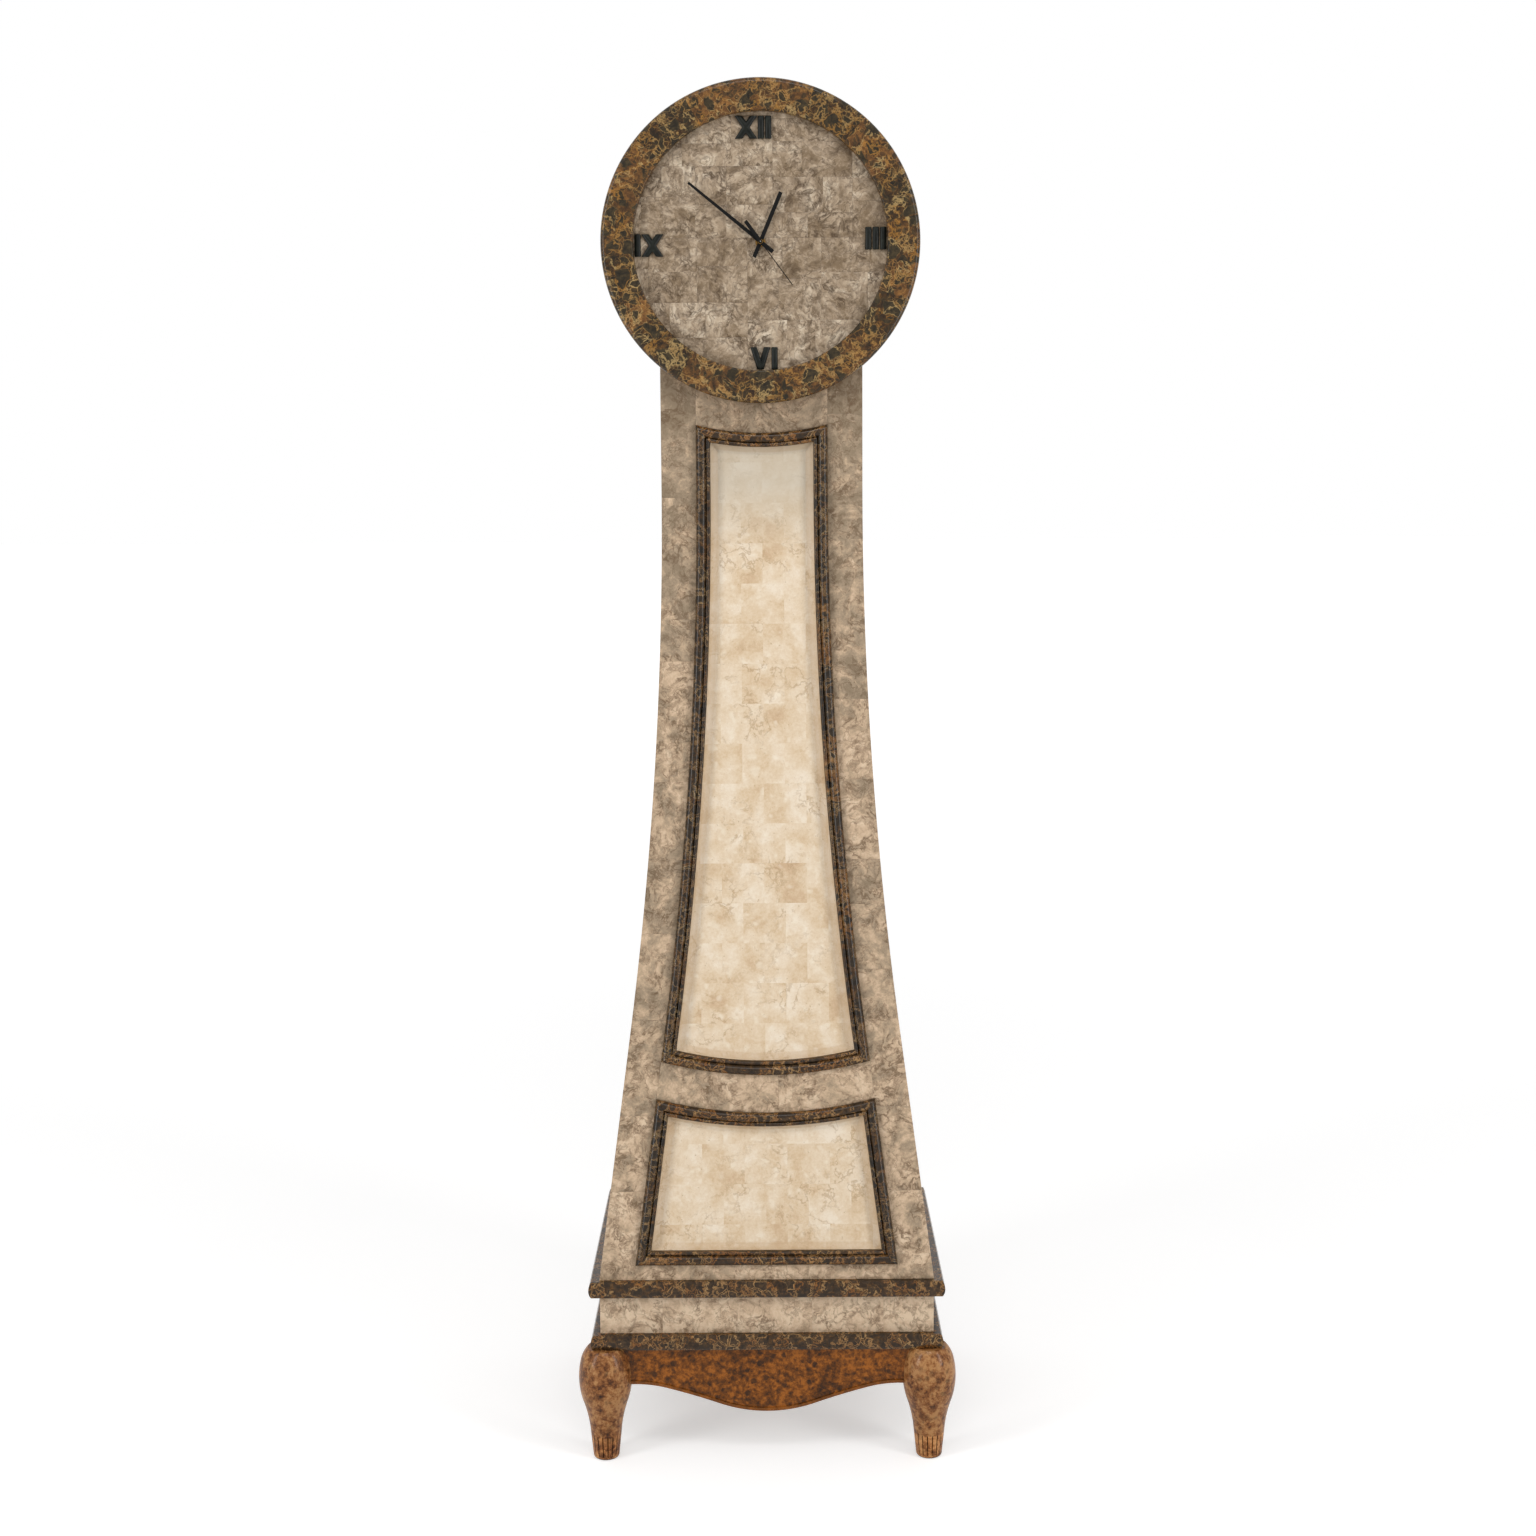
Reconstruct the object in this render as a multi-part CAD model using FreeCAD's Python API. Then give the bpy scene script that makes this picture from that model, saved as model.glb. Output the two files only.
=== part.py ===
# A floor clock: a flared wooden case faced with stone, on four turned legs, with a round head
# and a battery movement. Millimetres, +Z up, front towards -Y, origin on the floor under the middle.
import FreeCAD, Part
import math
import os

V = FreeCAD.Vector

# Overall places
back_y = 200.0
base_half_w = 243.0
overrun = 40.0
glue_gap = 0.1
board_t = 15.0
stone_t = 5.0

# Trunk: the same flare runs down the front and both sides, and its foot is as wide as the base
neck_half_w = 144.0
neck_front = 88.0
foot_over_front = 4.0
flare_foot_up = 338.0
flare_rise = 810.0
flare_radius = 6060.0
shelf_up = 37.0
cleat = 25.0

# Panels and their moulded frames
stile_w = 50.0
frame_w = 20.0
frame_bead_w = 6.0
frame_height = 9.0
frame_bead_height = 5.0
frame_lip = 2.2
lower_foot_up = 21.5
lower_panel_rise = 218.5
between_frames = 54.0
upper_panel_rise = 925.8
frame_under_ring = 41.2
upper_top_sag = 11.7
upper_foot_sag = 20.0
lower_top_sag = 20.0
panel_sunk = 9.0
panel_t = 8.0
panel_gap = 0.3
margin_w = 11.0
margin_lip = 1.5
margin_cove = 1.6

# Base mouldings
leg_h = 168.0
lower_moulding_h = 22.0
frieze_h = 58.0
upper_moulding_h = 24.0
moulding_land = 5.0
lower_moulding_proud = 13.5
upper_moulding_proud = 15.5

# Legs and aprons
leg_in = 6.0
knee_r = 38.8
leg_top_r = 25.5
leg_neck_r = 31.0
leg_shoulder_r = 35.0
calf_r = 33.6
shin_r = 25.1
collar_r = 22.4
foot_r = 19.0
foot_round = 4.0
reed_count = 18
reed_half_w = 2.4
reed_deep = 1.5
reed_low_z = 5.0
apron_t = 18.0
apron_set_back = 11.0
apron_crest_down = 54.0
apron_drop_down = 96.0
apron_side_drop_down = 72.0
apron_fit = 0.2
apron_bead_r = 2.2
leg_bolt_r = 4.0
leg_bolt_deep = 50.0
leg_bolt_in = 10.0
leg_bolt_head_r = 8.0
leg_bolt_head_h = 4.0
bolt_fit = 0.1
block = 20.0
block_h = 50.0
block_x = 90.0

# Head
drum_r = 218.0
drum_wall = 15.0
head_stone_t = 6.0
ring_w = 45.5
ring_proud = 38.0
ring_round = 7.0
ring_inner_round = 2.0
dial_recess = 14.0
dial_board_t = 9.0
dial_gap = 0.3
cradle_t = 22.0
cradle_h = 33.0
head_back_t = 12.0
door_half_w = 85.0
door_half_h = 100.0
door_gap = 0.8
door_t = 11.6
door_stop = 8.0

# Door hinges and knob
hinge_knuckle_r = 2.5
hinge_pin_r = 1.0
hinge_pin_fit = 0.05
hinge_axis_out = 3.0
hinge_leaf_w = 16.0
hinge_leaf_t = 1.5
hinge_leaf_in = 2.9
hinge_knuckle_h = 12.0
hinge_knuckle_gap = 0.35
hinge_bridge_out = 0.5
hinge_place_z = 65.0
knob_r = 8.0
knob_neck_r = 4.0
knob_h = 10.0
knob_in = 20.0

# Numerals: domed strokes cut from black stone, stuck on by hand and turned a little
numeral_margin = 1.9
twelve_margin = 6.0
numeral_h = 31.0
stroke_w = 8.8
stroke_gap = 1.6
stroke_proud = 5.0
stroke_dome = 2.2
cross_w = 29.5
vee_w = 28.0
numeral_turn_deg = 1.5
twelve_turn_deg = 3.2

# Hands, at rest at nine minutes to one
hour_deg = 23.0
minute_deg = 309.0
second_deg = 143.4
hour_long = 74.0
hour_tail = 23.0
hour_w = 5.6
minute_long = 129.0
minute_tail = 22.5
minute_tip_w = 3.4
second_long = 75.0
second_tail = 35.0
second_w = 1.2
second_tail_w = 5.2
hand_t = 0.6
hour_hub_r = 4.5
minute_hub_r = 3.6
second_hub_r = 2.6
hub_t = 1.2
cap_r = 3.5
cap_t = 1.4

# Movement: heights are counted back from the front of its case
movement_w = 56.0
movement_depth = 18.0
movement_front_wall = 1.5
movement_wall = 1.2
cover_t = 1.2
bay_h = 15.4
bridge_low = 10.8
bridge_t = 1.2
bridge_w = 40.0
bridge_h = 18.0
bridge_post_r = 1.6
second_arbor_r = 0.5
minute_pipe_r = 1.4
hour_pipe_r = 2.3
bush_r = 4.0
running_fit = 0.05
bush_long = 17.6
hour_pipe_long = 20.4
minute_pipe_long = 24.2
second_arbor_long = 26.8
hour_hand_at = 18.6
minute_hand_at = 21.8
second_hand_at = 25.2
cap_at = 22.5
washer_r = 7.0
washer_t = 0.6
nut_flats = 10.0
nut_t = 2.4
wheel_t = 1.0
pivot_r = 0.5
pinion_t = 1.2
hour_wheel_at = 2.0
motion_at = 3.4
centre_wheel_at = 5.0
third_wheel_at = 6.8
second_wheel_at = 8.6
train_module = 0.25
motion_module = 0.35
second_pinion_teeth = 8
third_wheel_teeth = 60
third_pinion_teeth = 8
centre_wheel_teeth = 64
cannon_teeth = 10
minute_wheel_teeth = 30
minute_pinion_teeth = 8
hour_wheel_teeth = 32
setting_teeth = 10
second_wheel_teeth = 60
third_deg = 292.0
minute_wheel_deg = 78.0
setting_knob_r = 6.0
setting_knob_t = 4.0
battery_r = 7.0
battery_long = 48.0
battery_nub_r = 2.7
battery_nub = 1.2
contact_t = 0.5
contact_w = 8.0
motor_long = 30.0
motor_t = 6.0
motor_core_t = 2.0
motor_coil_r = 3.2
motor_coil_long = 18.0
motor_z = 20.5

# Heights of the leg's turned outline, as shares of its height
neck_share = 0.957
shoulder_share = 0.905
knee_share = 0.72
calf_share = 0.53
shin_share = 0.345
collar_share = 0.22
round_share = 0.2929

# Tooth shape, as shares of the tooth pitch and of the module
tooth_root_share = 0.30
tooth_tip_share = 0.10
tooth_high_share = 0.75
tooth_deep_share = 1.15

# Places that follow from the sizes above, from the floor up
flare_out = base_half_w - neck_half_w
base_front = neck_front + flare_out - foot_over_front
leg_x = base_half_w - leg_in
leg_y = base_front - leg_in
trunk_bottom_z = leg_h + lower_moulding_h + frieze_h + upper_moulding_h
flare_foot_z = trunk_bottom_z + flare_foot_up
flare_top_z = flare_foot_z + flare_rise
lower_foot_mid_z = trunk_bottom_z + lower_foot_up
lower_top_mid_z = lower_foot_mid_z + lower_panel_rise
upper_foot_mid_z = lower_top_mid_z + between_frames
upper_top_mid_z = upper_foot_mid_z + upper_panel_rise
ring_outer_r = drum_r + head_stone_t
head_centre_z = upper_top_mid_z + frame_under_ring + ring_outer_r
ring_inner_r = ring_outer_r - ring_w
reach = 4 * base_half_w
curve_out = flare_radius - math.sqrt(flare_radius ** 2 - flare_rise ** 2)
slope = (flare_out - curve_out) / flare_foot_up


def flare(z):
    """How far the trunk's faces stand out from the neck at a height."""
    if z >= flare_top_z:
        return 0.0
    curved = max(z, flare_foot_z)
    out = flare_radius - math.sqrt(flare_radius ** 2 - (flare_top_z - curved) ** 2)
    return out + slope * (curved - z)


def save(name, *solids):
    """Writes one node, of one solid or a few alike."""
    shape = solids[0] if len(solids) == 1 else Part.makeCompound(list(solids))
    shape.exportStep("parts/" + name + ".step")
    print(name, len(shape.Solids), "solids", round(shape.Volume / 1000, 2), "cm3", shape.isValid())


def line(start, end):
    return Part.LineSegment(start, end).toShape()


def arc(start, middle, end):
    return Part.Arc(start, middle, end).toShape()


def box(low_x, low_y, low_z, high_x, high_y, high_z):
    return Part.makeBox(high_x - low_x, high_y - low_y, high_z - low_z, V(low_x, low_y, low_z))


def rod(radius, low_y, high_y, x=0.0, z=head_centre_z):
    """A round bar along Y, on the head's centre unless it is placed elsewhere."""
    return Part.makeCylinder(radius, high_y - low_y, V(x, low_y, z), V(0, 1, 0))


def tube(outer, inner, low_y, high_y, x=0.0, z=head_centre_z):
    return rod(outer, low_y, high_y, x, z).cut(rod(inner, low_y, high_y, x, z))


def mirrored(shape):
    """The same piece on the other side of the clock."""
    return shape.mirror(V(0, 0, 0), V(1, 0, 0))


# Flared outlines: lines and one arc, drawn in any plane by a place function

def flare_edges(offset, low, high, place):
    """The flare's own line at an offset: sloped skirt, arc, upright neck."""
    stretches = ((low, min(high, flare_foot_z), False),
                 (max(low, flare_foot_z), min(high, flare_top_z), True),
                 (max(low, flare_top_z), high, False))
    edges = []
    for start, end, curved in stretches:
        if end <= start:
            continue
        first = place(offset + flare(start), start)
        last = place(offset + flare(end), end)
        if curved:
            middle = (start + end) / 2
            edges.append(arc(first, place(offset + flare(middle), middle), last))
        else:
            edges.append(line(first, last))
    return edges


def closed_face(edges):
    return Part.Face(Part.Wire(Part.__sortEdges__(edges)))


def width_prism(half, low, high):
    """All that lies within a half width of the flared front outline."""
    def right(x, z):
        return V(x, -reach, z)

    def left(x, z):
        return V(-x, -reach, z)

    edges = flare_edges(half, low, high, right) + flare_edges(half, low, high, left)
    edges.append(line(right(half + flare(low), low), left(half + flare(low), low)))
    edges.append(line(right(half + flare(high), high), left(half + flare(high), high)))
    return closed_face(edges).extrude(V(0, 2 * reach, 0))


def depth_prism(front, low, high, thick=0.0, rear=back_y):
    """All that lies behind the flared front line: a layer if it has a thickness, else to the rear."""
    def near(out, z):
        return V(-reach, -out, z)

    edges = flare_edges(front, low, high, near)
    first = near(front + flare(low), low)
    last = near(front + flare(high), high)
    if thick:
        edges += flare_edges(front - thick, low, high, near)
        behind_first = near(front - thick + flare(low), low)
        behind_last = near(front - thick + flare(high), high)
    else:
        behind_first = V(-reach, rear, low)
        behind_last = V(-reach, rear, high)
        edges.append(line(behind_first, behind_last))
    edges.append(line(first, behind_first))
    edges.append(line(last, behind_last))
    return closed_face(edges).extrude(V(2 * reach, 0, 0))


# Panel frames: each rail is straight or sags along an arc, each side follows the flare

def rail(mid_z, sag, inward):
    """A frame's top or foot. Inward is -1 for a top rail, whose inside lies below it."""
    side_x = neck_half_w - stile_w + flare(mid_z + sag)
    radius = (side_x ** 2 + sag ** 2) / (2 * sag) if sag else 0.0
    return {"mid": mid_z, "sag": sag, "inward": inward, "radius": radius}


def rail_z(r, x, inset):
    """Height of the rail's edge, inset from its outer edge, at a place across the front."""
    if not r["sag"]:
        return r["mid"] + r["inward"] * inset
    centre = r["mid"] + r["radius"]
    radius = r["radius"] - r["inward"] * inset
    return centre - math.sqrt(radius ** 2 - x ** 2)


def corner(r, inset):
    """Where the rail's edge meets the frame's side, both inset alike."""
    z = r["mid"] + r["sag"]
    for _ in range(12):
        x = neck_half_w - stile_w - inset + flare(z)
        z = rail_z(r, x, inset)
    return x, z


def frame_prism(top, foot, inset):
    """The frame's outline, inset, as a bar that runs through the trunk's front."""
    foot_x, foot_z = corner(foot, inset)
    top_x, top_z = corner(top, inset)
    offset = neck_half_w - stile_w - inset

    def right(x, z):
        return V(x, -reach, z)

    def left(x, z):
        return V(-x, -reach, z)

    edges = flare_edges(offset, foot_z, top_z, right) + flare_edges(offset, foot_z, top_z, left)
    for r, x, z in ((top, top_x, top_z), (foot, foot_x, foot_z)):
        if r["sag"]:
            edges.append(arc(left(x, z), V(0, -reach, rail_z(r, 0, inset)), right(x, z)))
        else:
            edges.append(line(left(x, z), right(x, z)))
    return closed_face(edges).extrude(V(0, reach, 0))


def section_wire(section, place):
    """A closed section, of lines and arcs, whose points run across the strip and out of the front."""
    edges = []
    for points in section:
        placed = [place(across, out) for across, out in points]
        edges.append(line(*placed) if len(placed) == 2 else arc(*placed))
    return Part.Wire(edges)


def side_strip(section, low, high, stations=9):
    """A strip up the right side of a frame, in short straight lengths over the flare."""
    def wire_at(z):
        def place(across, out):
            x = neck_half_w - stile_w + flare(z) - across
            return V(x, -(neck_front + flare(z) + glue_gap) - out, z)

        return section_wire(section, place)

    if high <= flare_foot_z:
        start = V(neck_half_w - stile_w + flare(low), -(neck_front + flare(low) + glue_gap), low)
        along = V(-slope, slope, 1)
        forward = V(0, -1, slope) / (1 + slope ** 2)
        inward = V(0, -1, slope).cross(along) / (1 + 2 * slope ** 2)

        def square_on(across, out):
            return start + inward * across + forward * out

        return Part.Face(section_wire(section, square_on)).extrude(along * (high - low))
    steps = [flare_foot_z + (flare_top_z - flare_foot_z) * i / (stations - 1) for i in range(stations)]
    return Part.makeLoft([wire_at(z) for z in [low] + steps + [high]], True, True)


def lean_on_front(shape, z):
    """Takes a strip modelled upright at Y 0 and lays it on the front, which leans at this height."""
    lean = 0.0 if z >= flare_top_z else math.degrees(math.atan(slope))
    leaning = shape.rotated(V(0, 0, z), V(1, 0, 0), -lean)
    return leaning.translated(V(0, -(neck_front + glue_gap + flare(z)), 0))


def rail_strip(section, r):
    """A strip along a frame's top or foot, a little longer than the rail."""
    end_x = neck_half_w - stile_w + flare(r["mid"])

    def place(across, out):
        return V(0, -out, r["mid"] + r["inward"] * across)

    if not r["sag"]:
        face = Part.Face(section_wire(section, place))
        face.translate(V(-end_x - overrun, 0, 0))
        strip = face.extrude(V(2 * (end_x + overrun), 0, 0))
    else:
        centre = V(0, 0, r["mid"] + r["radius"])
        half_deg = math.degrees(math.asin((end_x + frame_w) / r["radius"]))
        face = Part.Face(section_wire(section, place))
        face.rotate(centre, V(0, 1, 0), -half_deg)
        strip = face.revolve(centre, V(0, 1, 0), 2 * half_deg)
    return lean_on_front(strip, r["mid"])


def mitre_prism(r):
    """The wedge that a rail fills between its two mitred ends."""
    outer_x, outer_z = corner(r, 0.0)
    inner_x, inner_z = corner(r, frame_w)
    long = math.hypot(inner_x - outer_x, inner_z - outer_z)
    step_x = (inner_x - outer_x) / long
    step_z = (inner_z - outer_z) / long
    outside = -2 * frame_w
    inside = 3 * frame_w
    near = (outer_x + outside * step_x, outer_z + outside * step_z)
    far = (outer_x + inside * step_x, outer_z + inside * step_z)
    points = [V(near[0], -reach, near[1]), V(far[0], -reach, far[1]),
              V(-far[0], -reach, far[1]), V(-near[0], -reach, near[1])]
    return Part.Face(Part.makePolygon(points + [points[0]])).extrude(V(0, reach, 0))


# The frame moulding: a big half round with a small bead inside it, flat behind
main_w = frame_w - frame_bead_w
frame_section = [((0, 0), (0, frame_lip)),
                 ((0, frame_lip), (main_w / 2, frame_height), (main_w, frame_lip)),
                 ((main_w, frame_lip), (main_w + frame_bead_w / 2, frame_bead_height), (frame_w, frame_lip)),
                 ((frame_w, frame_lip), (frame_w, 0)),
                 ((frame_w, 0), (0, 0))]

# The panel's margin: it slopes down in a cove from the frame to the sunk field
margin_edge = frame_w + panel_gap
margin_foot = margin_edge + margin_w
margin_back = -(panel_sunk + panel_t / 2)
margin_section = [((margin_edge, -margin_lip),
                   (margin_edge + margin_w / 2, -(margin_lip + panel_sunk) / 2 - margin_cove),
                   (margin_foot, -panel_sunk - glue_gap)),
                  ((margin_foot, -panel_sunk - glue_gap), (margin_foot, margin_back)),
                  ((margin_foot, margin_back), (margin_edge, margin_back)),
                  ((margin_edge, margin_back), (margin_edge, -margin_lip))]


def frame_pieces(top, foot):
    """The mitred runs of moulding round a panel: top, foot and the right side."""
    top_wedge = mitre_prism(top)
    foot_wedge = mitre_prism(foot)
    top_run = rail_strip(frame_section, top).common(top_wedge)
    foot_run = rail_strip(frame_section, foot).common(foot_wedge)
    low = corner(foot, 0.0)[1]
    high = corner(top, 0.0)[1]
    right = side_strip(frame_section, low, high).cut(top_wedge).cut(foot_wedge)
    return top_run, foot_run, max(right.Solids, key=lambda solid: solid.Volume)


def panel(top, foot):
    """The sunk marble panel with coved margins, cut to its opening."""
    low = corner(foot, 0.0)[1]
    high = corner(top, 0.0)[1]
    field = depth_prism(neck_front - panel_sunk, foot["mid"] - overrun, high + overrun, panel_t)
    side = side_strip(margin_section, low, high)
    margins = [side, mirrored(side), rail_strip(margin_section, top), rail_strip(margin_section, foot)]
    opening = frame_prism(top, foot, margin_edge)
    whole = field.common(opening)
    for margin in margins:
        whole = whole.fuse(margin.common(opening))
    return whole


os.makedirs("parts", exist_ok=True)

# Legs: turned in one piece, a full knee over a slim calf, with reeds cut up the foot

collar_z = collar_share * leg_h


def leg_profile(fit=0.0):
    """Half the turned outline, from the floor's centre up to the top's centre."""
    cut = foot_round * round_share
    edge = [(foot_r - foot_round, 0.0), (foot_r - cut, cut), (foot_r, foot_round), (collar_r, collar_z),
            (shin_r, shin_share * leg_h), (calf_r, calf_share * leg_h), (knee_r, knee_share * leg_h),
            (leg_shoulder_r, shoulder_share * leg_h), (leg_neck_r, neck_share * leg_h), (leg_top_r, leg_h)]
    turned = [V(radius + fit, 0, z) for radius, z in edge]
    sole, turn, welt, collar, shin, calf, knee, shoulder, neck, crown = turned
    edges = [line(V(0, 0, 0), sole), arc(sole, turn, welt), line(welt, collar), arc(collar, shin, calf),
             arc(calf, knee, shoulder), arc(shoulder, neck, crown), line(crown, V(0, 0, leg_h)),
             line(V(0, 0, leg_h), V(0, 0, 0))]
    return Part.Face(Part.Wire(edges))


def turned_leg(fit=0.0):
    return leg_profile(fit).revolve(V(0, 0, 0), V(0, 0, 1), 360)


leg = turned_leg()
for i in range(reed_count):
    turn = 2 * math.pi * i / reed_count
    out = V(math.cos(turn), math.sin(turn), 0)
    side = V(-out.y, out.x, 0) * reed_half_w
    low = out * (foot_r + (collar_r - foot_r) * reed_low_z / collar_z) + V(0, 0, reed_low_z)
    top = out * collar_r + V(0, 0, collar_z)
    root = low - out * reed_deep
    flute = Part.makePolygon([root, low + side + out * reed_deep, low - side + out * reed_deep, root])
    leg = leg.cut(Part.Face(flute).extrude(top - low))
leg_places = {"leg_front_left": (-leg_x, -leg_y), "leg_front_right": (leg_x, -leg_y),
              "leg_rear_left": (-leg_x, leg_y), "leg_rear_right": (leg_x, leg_y)}
leg_room = turned_leg(apron_fit)
bolts = []
bolt_holes = []
heads_room = []
head_z = leg_h + lower_moulding_h
bolt_low_z = leg_h - leg_bolt_deep
for name, (x, y) in leg_places.items():
    bolt_x = math.copysign(leg_x - leg_bolt_in, x)
    bolt_y = math.copysign(leg_y - leg_bolt_in, y)
    hole = Part.makeCylinder(leg_bolt_r + bolt_fit, head_z - bolt_low_z, V(bolt_x, bolt_y, bolt_low_z))
    save(name, leg.translated(V(x, y, 0)).cut(hole))
    shank = Part.makeCylinder(leg_bolt_r, head_z - bolt_low_z, V(bolt_x, bolt_y, bolt_low_z))
    head = Part.makeCylinder(leg_bolt_head_r, leg_bolt_head_h, V(bolt_x, bolt_y, head_z))
    bolts.append(shank.fuse(head).removeSplitter())
    bolt_holes.append(hole)
    room = Part.makeCylinder(leg_bolt_head_r + bolt_fit, leg_bolt_head_h + bolt_fit, V(bolt_x, bolt_y, head_z))
    heads_room.append(room)
save("leg_bolts", *bolts)

# Aprons: shaped boards between the legs, with a bead along the lower edge

apron_x_shares = [1.0, 0.8, 0.62, 0.46, 0.28, 0.0]
apron_fall_shares = [0.14, 0.0, 0.14, 0.40, 0.74, 1.0]


def apron(half_long, drop_down):
    """A shaped board along X, its front at Y 0, with its crests near the legs and a drop in the middle."""
    fall = drop_down - apron_crest_down
    crest_z = leg_h - apron_crest_down
    right = [V(half_long * s, 0, crest_z - fall * f) for s, f in zip(apron_x_shares, apron_fall_shares)]
    left = [V(-p.x, 0, p.z) for p in right]
    edge = [arc(*right[0:3]), arc(*right[2:5]), arc(right[4], right[5], left[4]), arc(*left[4:1:-1]),
            arc(*left[2::-1])]
    ends = (V(half_long, 0, leg_h), V(-half_long, 0, leg_h))
    wire = Part.Wire(edge + [line(left[0], ends[1]), line(ends[1], ends[0]), line(ends[0], right[0])])
    board = Part.Face(wire).extrude(V(0, apron_t, 0))
    up = V(0, 0, 2 * apron_bead_r)
    upper = [piece.translated(up) for piece in edge[::-1]]
    band = Part.Wire(edge + [line(left[0], left[0] + up)] + upper + [line(right[0] + up, right[0])])
    bead = Part.Face(band).extrude(V(0, -apron_bead_r, 0))
    return board.fuse(bead)


apron_y = base_front - apron_set_back + lower_moulding_proud
legs_room = [leg_room.translated(V(x, y, 0)) for x, y in leg_places.values()]
front_apron = apron(leg_x, apron_drop_down).translated(V(0, -apron_y, 0)).cut(legs_room)
rear_apron = apron(leg_x, apron_side_drop_down).rotated(V(0, 0, 0), V(0, 0, 1), 180).translated(V(0, apron_y, 0))
side_x = base_half_w - apron_set_back + lower_moulding_proud
left_apron = apron(leg_y, apron_side_drop_down).rotated(V(0, 0, 0), V(0, 0, 1), -90).translated(V(-side_x, 0, 0))


def largest(shape):
    """The main solid of a shape that a cut has left in pieces."""
    return max(shape.Solids, key=lambda solid: solid.Volume)


left_apron = largest(left_apron.cut(legs_room))
save("apron_front", largest(front_apron))
save("apron_rear", largest(rear_apron.cut(legs_room)))
save("apron_sides", left_apron, mirrored(left_apron))

# Base: two boards and four rails between them, faced with stone on three sides

lower_top_z = leg_h + lower_moulding_h
upper_low_z = trunk_bottom_z - upper_moulding_h
inner_half = base_half_w - stone_t
inner_front = -base_front + stone_t
base_bottom = box(-base_half_w, -base_front, leg_h, base_half_w, back_y, lower_top_z)
base_top = box(-base_half_w, -base_front, upper_low_z, base_half_w, back_y, trunk_bottom_z)
save("base_boards", base_bottom.cut(bolt_holes), base_top)
front_rail = box(-inner_half, inner_front, lower_top_z, inner_half, inner_front + board_t, upper_low_z)
back_rail = box(-inner_half, back_y - board_t, lower_top_z, inner_half, back_y, upper_low_z)
side_rail = box(inner_half - board_t, inner_front + board_t, lower_top_z, inner_half, back_y - board_t, upper_low_z)
rails = [piece.cut(heads_room) for piece in (front_rail, back_rail, side_rail, mirrored(side_rail))]
front_stone = box(-base_half_w, -base_front, lower_top_z, base_half_w, inner_front, upper_low_z)
side_stone = box(inner_half, inner_front, lower_top_z, base_half_w, back_y, upper_low_z)
save("frieze_stone", front_stone, mirrored(side_stone), side_stone)
block_low = leg_h - block_h
blocks = []
for sign in (-1, 1):
    for x in (-block_x, block_x):
        near = sign * (apron_y - apron_t)
        far = near - sign * block
        blocks.append(box(x - block / 2, min(near, far), block_low, x + block / 2, max(near, far), leg_h))
save("base_framing", *rails, *blocks)


def nosing(height, proud, low_z):
    """The half-round moulding's section, square at the board and round in front, in the plane X 0."""
    radius = height / 2
    flat = proud - radius * moulding_land / (moulding_land + radius)
    points = [V(0, 0, low_z), V(0, -flat, low_z), V(0, -proud, low_z + radius), V(0, -flat, low_z + height),
              V(0, 0, low_z + height)]
    edges = [line(points[0], points[1]), arc(points[1], points[2], points[3]), line(points[3], points[4]),
             line(points[4], points[0])]
    return Part.Face(Part.Wire(edges))


def base_moulding(name, height, proud, low_z):
    """Three mitred runs round a base board: front, left and right."""
    section = nosing(height, proud, low_z)
    front = section.translated(V(-base_half_w - proud, -base_front, 0)).extrude(V(2 * (base_half_w + proud), 0, 0))
    turned = section.rotated(V(0, 0, 0), V(0, 0, 1), -90)
    left = turned.translated(V(-base_half_w, -base_front - proud, 0)).extrude(V(0, back_y + base_front + proud, 0))
    corner_points = [V(-base_half_w, -base_front, 0), V(-base_half_w - 2 * proud, -base_front - 2 * proud, 0),
                     V(-base_half_w - 2 * proud, back_y + overrun, 0), V(-base_half_w, back_y + overrun, 0)]
    left_half = Part.Face(Part.makePolygon(corner_points + [corner_points[0]])).extrude(V(0, 0, reach))
    left = left.common(left_half)
    front = front.cut(left_half).cut(mirrored(left_half))
    save(name + "_front", front)
    save(name + "_sides", left, mirrored(left))


base_moulding("lower_moulding", lower_moulding_h, lower_moulding_proud, leg_h)
base_moulding("upper_moulding", upper_moulding_h, upper_moulding_proud, upper_low_z)

# Trunk: boards faced with stone, sawn to the drum of the head at the top

drum_room = rod(drum_r, -reach, reach)
upper_top = rail(upper_top_mid_z, upper_top_sag, -1)
upper_foot = rail(upper_foot_mid_z, upper_foot_sag, 1)
lower_top = rail(lower_top_mid_z, lower_top_sag, -1)
lower_foot = rail(lower_foot_mid_z, 0.0, 1)
openings = [frame_prism(upper_top, upper_foot, frame_w), frame_prism(lower_top, lower_foot, frame_w)]
skin = stone_t
core = stone_t + board_t


def trunk_layer(half, front, thick):
    layer = depth_prism(front, trunk_bottom_z, head_centre_z, thick)
    return layer.common(width_prism(half, trunk_bottom_z, head_centre_z)).cut(drum_room)


def trunk_side(outer, inner, front, rear):
    """The right side's board or stone, between two flared outlines."""
    outer_prism = width_prism(outer, trunk_bottom_z, head_centre_z)
    shell = outer_prism.cut(width_prism(inner, trunk_bottom_z, head_centre_z))
    side = shell.common(depth_prism(front, trunk_bottom_z, head_centre_z, rear=rear)).cut(drum_room)
    return largest(side.common(box(0, -reach, 0, reach, reach, reach + head_centre_z)))


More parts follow.
